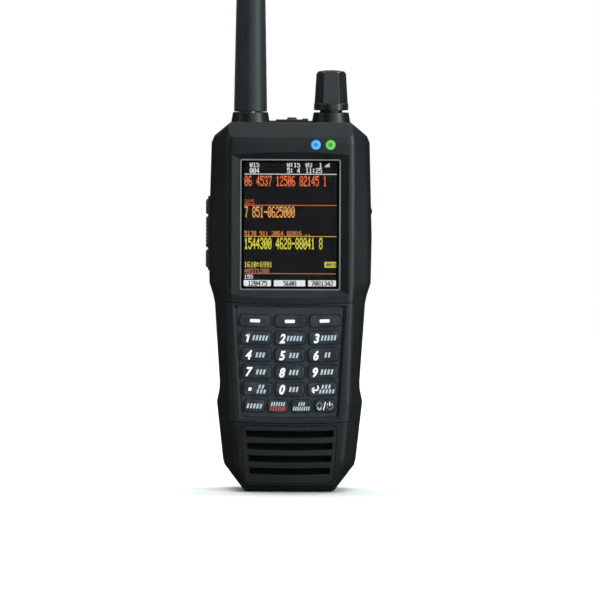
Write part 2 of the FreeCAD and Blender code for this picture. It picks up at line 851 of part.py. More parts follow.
grille_blank = common("grille_blank", outer_form,
                      grown_plate("grille", "grille_outline", ("grille_floor", FAR), "0"))
slots = []
for i in range(int(value("slot_count"))):
    middle = f"slot_top - {i} * slot_pitch - slot_height / 2"
    halves = (f"slot_half - {i} * slot_taper", f"slot_half - {i} * slot_taper")
    edges = (f"{middle} + slot_height / 2", f"{middle} - slot_height / 2")
    slots.append(bowed_plate(f"slot_{i}", ("grille_floor - 1", FAR), *edges, halves, "slot_corner"))
    flared = [f"{middle} {sign} slot_height * slot_flare_share / 2" for sign in "+-"]
    slots.append(bowed_plate(f"slot_flare_{i}", ("grille_floor + slot_lip", FAR), *flared, halves,
                             taper=value("slot_flare")))
sub_part(cut("speaker_grille_cut", grille_blank, slots), "speaker_grille")

speaker_front = rod("speaker_rim", "speaker_radius", "speaker_rim_depth", z="speaker_level", axis="front",
                    depth="front_inside - gap - speaker_rim_depth")
speaker_magnet = rod("speaker_magnet", "magnet_radius", "magnet_depth + 0.1", z="speaker_level", axis="front",
                     depth="front_inside - gap - speaker_rim_depth - magnet_depth")
speaker_dish = rod("speaker_dish", "dish_floor_radius", "dish_depth + gap", z="speaker_level", axis="front",
                   depth="front_inside - gap - dish_depth", top_radius="dish_rim_radius")
speaker_solid = fuse("speaker_solid", [speaker_front, speaker_magnet])
sub_part(cut("speaker_cut", speaker_solid, [speaker_dish]), "speaker")

# ---------------------------------------------------------------- indicator lights and boards

for i, light_name in enumerate(("led_lens_charge", "led_lens_alert")):
    light = rod(f"{light_name}_rod", "light_radius", "light_face + light_proud - light_back",
                x=f"light_first + {i} * light_pitch", depth="light_back", z="light_level", axis="front")
    rounded = doc.addObject("Part::Fillet", f"{light_name}_dome")
    rounded.Base = light
    doc.recompute()
    tip = value("mid_y - light_face - light_proud")
    rim = int(edges_at(light.Shape, 1, tip)[0][4:])
    rounded.Edges = [(rim, value("light_round"), value("light_round"))]
    sub_part(rounded, light_name)

board_rear = "board_front - board_thickness"
board = block("main_board_plate", ("-board_half", "board_half"), (board_rear, "board_front"),
              ("board_bottom", "board_top"))
card_socket = block("card_socket", ("-card_half", "card_half"), (f"{board_rear} - card_thickness", board_rear),
                    ("card_bottom", "card_bottom + 2 * card_half"))
sub_part(group("main_board_group", [board, card_socket] + domes), "main_board")

tuner = block("tuner_plate", ("-tuner_half", "tuner_half"), ("tuner_front - tuner_thickness", "tuner_front"),
              ("tuner_bottom", "tuner_top"))
# each shield's left and right edges as shares of the board's half width, its bottom and top above the board's
SHIELDS = ((-0.9, 0.1, 62, 94), (0.2, 0.9, 66, 94), (-0.85, 0.85, 6, 40))
shields = [
    block(f"shield_{i}", (f"{low} * tuner_half", f"{high} * tuner_half"),
          ("tuner_front", "tuner_front + shield_height"), (f"tuner_bottom + {floor}", f"tuner_bottom + {roof}"))
    for i, (low, high, floor, roof) in enumerate(SHIELDS)
]
sub_part(group("tuner_group", [tuner] + shields), "tuner_board")

# ---------------------------------------------------------------- rear case

rear_block = slab("rear_block", outer_form, (f"-{FAR}", "parting"))
rear_low = slab("rear_low", inner_form, ("-bay_inside", "parting + 1"), ("floor_inside", "bay_top + wall + 1"))
rear_high = slab("rear_high", inner_form, (f"-{FAR}", "parting + 1"), ("bay_top + wall", "deck_inside"))
battery_bay = block("battery_bay", (f"-{FAR}", FAR), (f"-{FAR}", "-bay_floor"), ("-1", "bay_top"))

turret_left, turret_right = (
    rod(f"turret_{side}", "turret_base_radius", "turret_top - turret_base", x=x, z="turret_base",
        top_radius="turret_top_radius")
    for side, x in (("antenna", "-post_offset"), ("knob", "post_offset"))
)
socket_hole = rod("socket_hole", "socket_radius", FAR, x="-post_offset", z="deck_inside - 1")
bushing_hole = rod("bushing_hole", "bushing_radius", FAR, x="post_offset", z="deck_inside - 1")
jack_hole = rod("jack_hole", "deck_hole", FAR, x="jack_x", z="deck_inside - 1")

SIDES = ("-", "")
rear_feet = [foot(f"rear_foot_{i}", side, ("foot_front_low", "foot_front_high")) for i, side in enumerate(SIDES)]

side_mat_slot = block("side_mat_slot", (f"-{FAR}", "-side_mat_inside"),
                      ("side_mat_back - gap", "side_mat_front + gap"),
                      ("side_mat_bottom - gap", "side_mat_top + gap"))
port_seat = block("port_seat", ("port_pocket - 2", "port_pocket + 0.6"), ("port_back - 1", "port_front + 1"),
                  ("port_bottom - 1", "port_top + 1"))
port_pocket = block("port_pocket_cut", ("port_pocket", FAR), ("port_back - port_gap", "port_front + port_gap"),
                    ("port_bottom - port_gap", "port_top + port_gap"))
usb_middle = "(port_front + port_back) / 2"
usb_extent = (f"{usb_middle} - usb_half_depth", f"{usb_middle} + usb_half_depth")
usb_levels = ("usb_level - usb_half_height", "usb_level + usb_half_height")
usb_hole = block("usb_hole", ("port_pocket - usb_length", FAR), usb_extent, usb_levels)

clip_screw_places = ("-clip_screw_x", "clip_screw_x")
clip_bosses = [
    rod(f"clip_boss_{i}", "boss_radius", "clip_screw_length", x=x, z="clip_screw_level",
        depth="-(clip_seat - 1)", axis="front")
    for i, x in enumerate(clip_screw_places)
]
clip_pilots = [
    rod(f"clip_pilot_{i}", "screw_radius", "clip_screw_length", x=x, z="clip_screw_level",
        depth="-(clip_seat + 0.5)", axis="front")
    for i, x in enumerate(clip_screw_places)
]
head_recesses = [
    rod(f"head_recess_{i}", "screw_head_radius + gap", "screw_head", x=x, z=level, depth="-bay_floor",
        axis="front")
    for i, (x, level) in enumerate(screw_places())
]
contact_places = [f"({i} - (pin_count - 1) / 2) * pin_pitch" for i in range(int(value("pin_count")))]
contact_holes = [
    rod(f"contact_hole_{i}", "pin_radius", "bay_floor", x=x, z="pin_level", depth="-bay_floor - 0.5",
        axis="front")
    for i, x in enumerate(contact_places)
]


def gasket_band(name, inset):
    """The case's form drawn in by an inset, over the gasket's depth."""
    depth = ("parting - gasket_height", "parting")
    levels = (f"base_level + {inset}", f"top_level - {inset}")
    return slab(name, skin(f"{name}_form", value(inset)), depth, levels)


gasket_inside = gasket_band("gasket_inside", "gasket_inner")
gasket = cut("gasket_cut", gasket_band("gasket_outside", "gasket_outer"), [gasket_inside])
sub_part(gasket, "case_gasket")

rear_shell = cut("rear_shell", rear_block, [rear_low, rear_high, battery_bay])
rear_adds = [turret_left, turret_right, port_seat] + rear_feet + clip_bosses
rear_body = fuse("rear_body", [rear_shell] + rear_adds)
rear_tools = [socket_hole, bushing_hole, jack_hole, side_mat_slot, port_pocket, usb_hole, gasket]
rear_tools += pilots + clip_pilots + head_recesses + contact_holes
sub_part(cut("rear_case_cut", rear_body, rear_tools), "rear_case")

# ---------------------------------------------------------------- screws and contacts

case_screws = []
for i, (x, level) in enumerate(screw_places()):
    head = rod(f"case_screw_head_{i}", "screw_head_radius", "screw_head", x=x, z=level,
               depth="-bay_floor", axis="front")
    shank = rod(f"case_screw_shank_{i}", "screw_radius", "screw_tip + bay_floor", x=x, z=level,
                depth="-bay_floor", axis="front")
    case_screws.append(fuse(f"case_screw_{i}", [head, shank]))
sub_part(group("case_screw_group", case_screws), "case_screws")
contacts = [
    rod(f"contact_{i}", "pin_radius", "bay_floor", x=x, z="pin_level", depth="-bay_floor - 0.1", axis="front")
    for i, x in enumerate(contact_places)
]
sub_part(group("contact_group", contacts), "battery_contacts")

# ---------------------------------------------------------------- antenna

barrel = rod("socket_barrel", "socket_radius", "socket_top - socket_bottom", x="-post_offset",
             z="socket_bottom")
socket_flange = rod("socket_flange_disc", "socket_flange_radius", "socket_flange", x="-post_offset",
                    z="deck_inside - socket_flange")
socket_bore = rod("socket_bore_cut", "socket_bore", "socket_bore_depth + 1", x="-post_offset",
                  z="socket_top - socket_bore_depth")
socket_solid = fuse("socket_solid", [barrel, socket_flange])
sub_part(cut("antenna_socket_cut", socket_solid, [socket_bore]), "antenna_socket")

sub_part(turned("antenna_plug_turned", [
    ("0", "plug_pin_tip"),
    ("plug_pin", "plug_pin_tip"),
    ("plug_pin", "plug_bottom + plug_bore_depth"),
    ("plug_bore", "plug_bottom + plug_bore_depth"),
    ("plug_bore", "plug_bottom"),
    ("plug_radius", "plug_bottom"),
    ("plug_radius", "plug_bottom + plug_length"),
    ("0", "plug_bottom + plug_length"),
], "-post_offset"), "antenna_plug")

sleeve = turned("antenna_sleeve_turned", [
    ("plug_radius", "sleeve_bottom"),
    ("sleeve_base_radius", "sleeve_bottom"),
    ("sleeve_tip_radius", "sleeve_top"),
    ("0", "sleeve_top"),
    ("0", "whip_top"),
    ("whip_bore", "whip_top"),
    ("whip_bore", "plug_bottom + plug_length"),
    ("plug_radius", "plug_bottom + plug_length"),
], "-post_offset")
ease(sleeve, edges_at(sleeve.Shape, 2, value("sleeve_top")), "sleeve_tip_round")
ease(sleeve, [name for name in edges_at(sleeve.Shape, 2, value("sleeve_bottom"))
              if sleeve.Shape.getElement(name).Curve.Radius > value("plug_radius + 0.1")], "sleeve_foot_round")
sub_part(sleeve, "antenna_sleeve")


def coil(name, radius, wire, pitch, turns):
    """A wire coil that rises from its own origin."""
    helix = Part.makeHelix(pitch, pitch * turns, radius)
    start = Part.Wire(Part.Circle(Vector(radius, 0, 0), Vector(0, 1, 0), wire).toShape())
    feature = doc.addObject("Part::Feature", name)
    feature.Shape = Part.Wire(helix).makePipeShell([start], True, True)
    return feature


COIL_SIZES = ("radius", "wire", "pitch", "turns")
antenna_coil = coil("antenna_coil_wire", *(value(f"coil_{size}") for size in COIL_SIZES))
bind(antenna_coil, {
    "Placement.Base.x": "-post_offset",
    "Placement.Base.y": "mid_y",
    "Placement.Base.z": "coil_bottom",
})
sub_part(antenna_coil, "antenna_coil")

# ---------------------------------------------------------------- rotary control

encoder_block = block("encoder_block", ("post_offset - encoder_half", "post_offset + encoder_half"),
                      ("-encoder_half", "encoder_half"), ("encoder_bottom", "encoder_bottom + encoder_height"))
bushing = rod("bushing", "bushing_radius", "bushing_top - encoder_bottom - 1", x="post_offset",
              z="encoder_bottom + 1")
collar_nut = rod("collar_nut", "neck_radius", "bushing_top - turret_top - 0.2", x="post_offset", z="turret_top")
rotor_bore = rod("rotor_bore", "rotor_radius + shaft_gap", FAR, x="post_offset", z="encoder_bottom + 0.7")
encoder_solid = fuse("encoder_solid", [encoder_block, bushing, collar_nut])
sub_part(cut("encoder_body_cut", encoder_solid, [rotor_bore]), "encoder_body")

sub_part(turned("encoder_rotor_turned", [
    ("shaft_radius + shaft_gap", "rotor_bottom"),
    ("rotor_radius", "rotor_bottom"),
    ("rotor_radius", "rotor_top"),
    ("shaft_radius + shaft_gap", "rotor_top"),
], "post_offset"), "encoder_rotor")
shaft = rod("encoder_shaft_rod", "shaft_radius", "shaft_top - shaft_bottom", x="post_offset", z="shaft_bottom")
sub_part(shaft, "encoder_shaft")

knob_turned = turned("knob_turned", [
    ("knob_recess_radius", "knob_bottom"),
    ("knob_skirt_radius", "knob_bottom"),
    ("knob_skirt_radius", "knob_skirt_top"),
    ("knob_waist_radius", "knob_skirt_top + knob_step"),
    ("knob_shoulder_radius", "knob_shoulder"),
    ("knob_crown_radius", "knob_top - knob_crown_drop"),
    ("knob_disc_radius", "knob_top"),
    ("0", "knob_top"),
    ("0", "shaft_top"),
    ("shaft_radius", "shaft_top"),
    ("shaft_radius", "knob_bottom + knob_recess"),
    ("knob_recess_radius", "knob_bottom + knob_recess"),
], "post_offset")
ease(knob_turned, edges_at(knob_turned.Shape, 2, value("knob_shoulder")), "knob_round")
grips = []
for i in range(int(value("knob_flats"))):
    # each flat leans in with the knob's draft and faces out of the knob's own axis
    outward = Rotation(Vector(0, 0, 1), 360 * (i + 0.5) / value("knob_flats"))
    foot_of_flat = Vector(value("knob_waist_radius - knob_flat_cut"), value("-knob_flat_width / 2"), 0)
    centre = Vector(value("post_offset"), value("mid_y"), value("knob_skirt_top + knob_step"))
    flat = doc.addObject("Part::Box", f"knob_flat_{i}")
    bind(flat, {
        "Length": "knob_waist_radius",
        "Width": "knob_flat_width",
        "Height": "knob_top - knob_bottom + 4",
    })
    lean = outward.multiply(Rotation(Vector(0, 1, 0), -value("knob_draft")))
    flat.Placement = Placement(centre + outward.multVec(foot_of_flat), lean)
    grips.append(flat)
pointer = block("knob_pointer", ("post_offset - knob_line_half", "post_offset + knob_line_half"),
                ("knob_line_start", "knob_waist_radius + 1"), ("knob_top - knob_line_half", "knob_top + 1"))
sub_part(cut("knob_cap_cut", knob_turned, grips + [pointer]), "knob_cap")

# ---------------------------------------------------------------- earphone socket and its cap

jack_body = rod("jack_body", "jack_body_radius", "deck_inside - jack_bottom", x="jack_x", z="jack_bottom")
jack_bore = rod("jack_bore", "jack_radius", FAR, x="jack_x", z="jack_bottom + 0.6")
sub_part(cut("earphone_jack_cut", jack_body, [jack_bore]), "earphone_jack")

cap_axis_level = "cap_bottom + cap_thickness / 2"
cap_plate = block("cap_plate", ("jack_x - cap_half", "jack_x + cap_half"),
                  ("-cap_depth_half", "cap_depth_half"), ("cap_bottom", "cap_bottom + cap_thickness"))
cap_hinge = rod("cap_hinge", "cap_thickness / 2", "2 * cap_half", x="jack_x - cap_half",
                depth="-cap_depth_half", z=cap_axis_level, axis="right")
cap_disc = rod("cap_disc", "cap_disc_radius", "cap_disc_height + cap_thickness", x="jack_x", z="cap_bottom",
               top_radius="cap_crown_radius")
cap_plug = rod("cap_plug", "cap_plug_radius", "cap_plug_length + cap_thickness / 2", x="jack_x",
               z="cap_bottom - cap_plug_length")
cap_tab = block("cap_tab", ("jack_x + cap_half - cap_tab_width", "jack_x + cap_half"),
                ("cap_tab_back", "cap_tab_front"), ("cap_bottom", "cap_bottom + cap_thickness + cap_tab_proud"))
sub_part(fuse("earphone_cover_fuse", [cap_plate, cap_hinge, cap_disc, cap_plug, cap_tab]), "earphone_cover")

# ---------------------------------------------------------------- side keys

TO_LEFT = Rotation(Vector(0, 0, 1), -90)
TO_RIGHT = Rotation(Vector(0, 0, 1), 90)


def wall_plate(name, depth, front, back, high, low, corner, edge, turn):
    """A rounded plate that faces sideways: out of the left or right wall, between two depths and two levels."""
    plate = rounded_plate(name, depth, f"{front} - ({back})", f"{high} - ({low})", corner, edge, turn=turn)
    return bind(plate, {
        "Placement.Base.y": f"mid_y - ({front} + {back}) / 2",
        "Placement.Base.z": f"({high} + {low}) / 2",
    })


SIDE_KEYS = {
    "side_key_upper": ("side_key_high", "side_key_mid_high + side_key_split"),
    "side_key_middle": ("side_key_mid_high", "side_key_mid_low"),
    "side_key_lower": ("side_key_mid_low - side_key_split", "side_key_low"),
}
side_holes = []
for key_name, (high, low) in SIDE_KEYS.items():
    key_depth = ("side_key_inside", "side_key_face")
    cap = wall_plate(f"{key_name}_cap", key_depth, "side_key_front", "side_key_back", high, low,
                     "side_key_corner", "side_key_edge", TO_LEFT)
    hole_extent = ("side_mat_inside - 3", FAR), "side_key_front + key_gap", "side_key_back - key_gap"
    side_holes.append(wall_plate(f"{key_name}_hole", *hole_extent, f"{high} + key_gap", f"{low} - key_gap",
                                 "side_key_corner", None, TO_LEFT))
    if key_name == "side_key_middle":
        middle = "(side_key_mid_high + side_key_mid_low) / 2"
        ribs = []
        for i in range(int(value("rib_count"))):
            rib_level = f"{middle} + ({i} - (rib_count - 1) / 2) * rib_pitch"
            ribs.append(block(f"side_rib_{i}", (f"-{FAR}", "-(side_key_face - rib_depth)"),
                              ("side_key_back", "side_key_front"),
                              (f"{rib_level} - rib_width / 2", f"{rib_level} + rib_width / 2")))
        cap = cut("side_key_middle_cut", cap, ribs)
    sub_part(cap, key_name)

side_mat_plate = block("side_mat_plate", ("-side_mat_face", "-side_mat_inside"),
                       ("side_mat_back", "side_mat_front"), ("side_mat_bottom", "side_mat_top"))
side_mat_flange = block("side_mat_flange", ("-side_mat_flange_out", "-side_mat_flange_in"),
                        ("side_mat_back - 0.4", "side_mat_front + 0.4"),
                        ("side_mat_bottom - 1", "side_mat_top + 1"))
side_mat_solid = fuse("side_mat_solid", [side_mat_plate, side_mat_flange])
sub_part(cut("side_key_mat_cut", side_mat_solid, side_holes), "side_key_mat")

# ---------------------------------------------------------------- data port and its cover

usb_outside = block("usb_outside", ("port_pocket - usb_length", "port_pocket - 0.1"), usb_extent, usb_levels)
usb_inside = block("usb_inside", ("port_pocket - usb_length + 0.8", FAR),
                   (f"{usb_extent[0]} + usb_shell", f"{usb_extent[1]} - usb_shell"),
                   (f"{usb_levels[0]} + usb_shell", f"{usb_levels[1]} - usb_shell"))
usb_tongue = block("usb_tongue", ("port_pocket - usb_length + 0.5", "port_pocket - 1.2"),
                   (f"{usb_middle} - usb_tongue_half", f"{usb_middle} + usb_tongue_half"),
                   (f"{usb_levels[0]} + usb_tongue_inset", f"{usb_levels[1]} - usb_tongue_inset"))
usb_shell_cut = cut("usb_shell_cut", usb_outside, [usb_inside])
sub_part(fuse("usb_socket_fuse", [usb_shell_cut, usb_tongue]), "usb_socket")

port_axis_level = "port_bottom + port_thickness / 2"
port_flap = block("port_flap", ("port_face - port_thickness", "port_face"), ("port_back", "port_front"),
                  (port_axis_level, "port_top"))
port_hinge = rod("port_hinge", "port_thickness / 2", "port_front - port_back", depth="port_back",
                 x="port_face - port_thickness / 2", z=port_axis_level, axis="front")
port_lip = block("port_lip", ("port_face", "port_face + port_lip_proud"),
                 ("port_back + port_lip_inset", "port_front - port_lip_inset"),
                 ("port_top - port_lip_drop - port_lip_height", "port_top - port_lip_drop"))
sub_part(fuse("port_cover_fuse", [port_flap, port_hinge, port_lip]), "port_cover")

# ---------------------------------------------------------------- battery pack

pack_levels = ("pack_bottom", "pack_top")
lid_levels = ("pack_bottom + 0.4", "pack_top")
lid_back = "lid_front + lid_thickness"
lid_form = slab("lid_form", outer_form, (f"-({lid_back})", "-lid_front"), lid_levels)
sub_part(lid_form, "battery_lid")
pack_form = slab("pack_form", outer_form, (f"-{FAR}", f"-({lid_back})"), pack_levels)
pack_cavity = block("pack_cavity", ("-pack_cavity_half", "pack_cavity_half"), ("-pack_cavity_back", "0"),
                    ("pack_cavity_bottom", "pack_cavity_top"))
latch_recess = block("latch_recess", ("-latch_half - latch_gap", "latch_half + latch_gap"),
                     (f"-{FAR}", "-(clip_seat - latch_depth)"),
                     ("latch_bottom - latch_gap", "latch_top + latch_travel + latch_gap"))
pack_feet = [foot(f"pack_foot_{i}", side, ("foot_back_low", "foot_back_high")) for i, side in enumerate(SIDES)]
pack_solid = fuse("pack_solid", [pack_form] + pack_feet)
sub_part(cut("battery_case_cut", pack_solid, [pack_cavity, latch_recess]), "battery_case")
cells = []
for i in range(2):
    floor = f"pack_cavity_bottom + 0.2 + {i} * (cell_height + cell_gap)"
    cells.append(block(f"cell_{i}", ("-cell_half", "cell_half"),
                       ("-(pack_cavity_back - 0.1)", f"-({lid_back} + 0.1)"), (floor, f"{floor} + cell_height")))
sub_part(group("cell_group", cells), "battery_cells")

latch_plate = block("latch_plate", ("-latch_half", "latch_half"),
                    ("-(clip_seat + latch_proud)", "-(clip_seat - latch_depth + 0.1)"),
                    ("latch_bottom", "latch_top"))
latch_ribs = [
    block(f"latch_rib_{i}", ("-latch_half - 1", "latch_half + 1"),
          (f"-{FAR}", "-(clip_seat + latch_proud / 2)"),
          (f"latch_bottom + ({i} + 0.5) * latch_rib_pitch", f"latch_bottom + ({i} + 1) * latch_rib_pitch"))
    for i in range(int(value("latch_rib_count")))
]
sub_part(cut("battery_latch_cut", latch_plate, latch_ribs), "battery_latch")

# ---------------------------------------------------------------- belt clip

bracket_back = "clip_seat + bracket_thickness"
bracket_plate = rounded_plate("bracket_plate", (f"-({bracket_back})", "-clip_seat"), "2 * bracket_half",
                              "bracket_top - bracket_bottom", "bracket_corner",
                              z="(bracket_top + bracket_bottom) / 2")
ears = []
for i, (low, high) in enumerate((("-bracket_half", "-bracket_half + ear_thickness"),
                                 ("bracket_half - ear_thickness", "bracket_half"))):
    ears.append(rod(f"ear_disc_{i}", "ear_radius", "ear_thickness", x=low, depth="-clip_axis_depth",
                    z="clip_axis_level", axis="right"))
    ears.append(block(f"ear_web_{i}", (low, high), ("-clip_axis_depth", "-clip_seat"),
                      ("clip_axis_level - ear_radius", "clip_axis_level + ear_radius")))
clip_pin = rod("clip_pin_rod", "clip_pin_radius", "2 * bracket_half", x="-bracket_half", depth="-clip_axis_depth",
               z="clip_axis_level", axis="right")
bracket_heads = [
    rod(f"bracket_head_recess_{i}", "screw_head_radius + gap", "screw_head", x=x, z="clip_screw_level",
        depth=f"-({bracket_back})", axis="front")
    for i, x in enumerate(clip_screw_places)
]
bracket_solid = fuse("bracket_solid", [bracket_plate] + ears)
sub_part(cut("clip_bracket_cut", bracket_solid, [clip_pin] + bracket_heads + clip_pilots), "clip_bracket")
sub_part(clip_pin, "clip_pin")

clip_screws = []
for i, x in enumerate(clip_screw_places):
    head = rod(f"clip_screw_head_{i}", "screw_head_radius", "screw_head - 0.1", x=x, z="clip_screw_level",
               depth=f"-({bracket_back} - 0.1)", axis="front")
    shank = rod(f"clip_screw_shank_{i}", "screw_radius", "clip_screw_length - 0.6", x=x, z="clip_screw_level",
                depth="-(clip_seat + 0.5)", axis="front")
    clip_screws.append(fuse(f"clip_screw_{i}", [head, shank]))
sub_part(group("clip_screw_group", clip_screws), "clip_screws")

# the clip's bent sheet, as (depth behind the axis plane, level) down its inner side and back up its outer side
CLIP_PROFILE = [
    ("clip_axis_depth + 1.7", "clip_tab_top"),
    ("clip_axis_depth + 1.7", "clip_axis_level + 1"),
    ("clip_axis_depth + 1", "clip_axis_level - 3"),
    ("clip_axis_depth - 0.1", "clip_foot + 12"),
    ("clip_seat + 0.8", "clip_foot + 4.6"),
    ("clip_seat + 0.9", "clip_foot + 1.6"),
    ("clip_seat + 2.4", "clip_foot"),
    ("clip_seat + 3", "clip_foot + 3.9"),
    ("clip_axis_depth + clip_sheet - 0.2", "clip_foot + 11.2"),
    ("clip_axis_depth + clip_sheet + 1.1", "clip_axis_level - 3"),
    ("clip_axis_depth + clip_sheet + 1.8", "clip_axis_level + 1"),
    ("clip_axis_depth + clip_sheet + 1.8", "clip_tab_top"),
]
blade = doc.addObject("PartDesign::Body", "clip_blade")
blade_sketch = sketch_on(blade, "YZ_Plane", "clip_blade_outline", "-clip_half")
polygon(blade_sketch, [(f"mid_y + {depth}", level) for depth, level in CLIP_PROFILE])
pad(blade, blade_sketch, "2 * clip_half")
clip_barrel = rod("clip_barrel", "clip_barrel_radius", "2 * clip_half", x="-clip_half", depth="-clip_axis_depth",
                  z="clip_axis_level", axis="right")
clip_bore = rod("clip_bore", "clip_pin_radius + shaft_gap", f"2 * {FAR}", x=f"-{FAR}", depth="-clip_axis_depth",
                z="clip_axis_level", axis="right")
spring_bay = block("spring_bay", ("-clip_slot_half", "clip_slot_half"),
                   ("-(clip_axis_depth + clip_slot_depth)", "0"),
                   ("clip_axis_level - clip_slot_reach", "clip_axis_level + clip_slot_reach"))
sub_part(cut("belt_clip_cut", fuse("clip_solid", [blade, clip_barrel]), [clip_bore, spring_bay]), "belt_clip")

clip_spring = coil("clip_spring_wire", *(value(f"spring_{size}") for size in COIL_SIZES))
clip_spring.Placement = Placement(Vector(), Rotation(Vector(0, 1, 0), 90))
bind(clip_spring, {
    "Placement.Base.x": "-spring_pitch * spring_turns / 2",
    "Placement.Base.y": "mid_y + clip_axis_depth",
    "Placement.Base.z": "clip_axis_level",
})
sub_part(clip_spring, "clip_spring")

# ---------------------------------------------------------------- check and write

doc.recompute()
faulty = [thing.Label for thing in doc.Objects if {"Invalid", "Error"} & set(thing.State)]
faulty += [piece.Label for piece in SUB_PARTS if piece.Shape.isNull() or not piece.Shape.isValid()]
if faulty:
    raise ValueError(f"these objects are faulty: {faulty}")
os.makedirs("parts", exist_ok=True)
for piece in SUB_PARTS:
    piece.Shape.exportStep(f"parts/{piece.Label}.step")
    print(f"{piece.Label}: {piece.Shape.Volume:.1f} mm3")
print(len(SUB_PARTS), "sub-parts")
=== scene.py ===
"""Finishes, legends and display graphics for a handheld scanner radio.

The radio's solid pieces come ready made and in place. This script gives each of them its finish and adds
what a moulding shop, a pad printer and an assembler would add: key legends, the lit display, the lamps, the
cloth behind the speaker slots, and the marks of moulding and use. Lengths are in metres in the radio's own
frame, except where a field says millimetres.
"""

import json
import logging
import math
from dataclasses import dataclass, field
from enum import Enum
from typing import Any, Iterable, Sequence

import bmesh
import bpy
from mathutils import Matrix, Vector

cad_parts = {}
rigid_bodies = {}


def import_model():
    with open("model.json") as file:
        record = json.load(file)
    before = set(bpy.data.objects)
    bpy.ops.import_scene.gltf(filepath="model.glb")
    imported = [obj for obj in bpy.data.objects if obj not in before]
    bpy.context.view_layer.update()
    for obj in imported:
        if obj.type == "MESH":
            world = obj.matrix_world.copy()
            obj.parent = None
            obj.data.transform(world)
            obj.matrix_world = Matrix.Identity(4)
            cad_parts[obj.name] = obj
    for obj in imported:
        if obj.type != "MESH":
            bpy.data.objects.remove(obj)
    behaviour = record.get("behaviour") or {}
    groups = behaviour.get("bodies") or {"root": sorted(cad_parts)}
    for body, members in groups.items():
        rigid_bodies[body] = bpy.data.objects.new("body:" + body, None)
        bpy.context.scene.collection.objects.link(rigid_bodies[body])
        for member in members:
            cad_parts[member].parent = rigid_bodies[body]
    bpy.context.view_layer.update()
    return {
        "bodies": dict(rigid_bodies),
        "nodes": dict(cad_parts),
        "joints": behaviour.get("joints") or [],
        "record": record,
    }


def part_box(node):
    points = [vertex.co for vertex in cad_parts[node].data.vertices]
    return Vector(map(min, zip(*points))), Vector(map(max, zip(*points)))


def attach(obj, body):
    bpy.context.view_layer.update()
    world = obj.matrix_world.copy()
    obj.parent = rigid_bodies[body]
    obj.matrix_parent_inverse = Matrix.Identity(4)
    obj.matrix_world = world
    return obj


LOG = logging.getLogger("scanner_radio")
MM = 0.001
Colour = tuple[float, float, float]
Point = tuple[float, float]
Outline = list[Point]
Socket = bpy.types.NodeSocket

GOLD: Colour = (0.8, 0.56, 0.22)
ZINC: Colour = (0.5, 0.5, 0.51)


# -------------------------------- shading


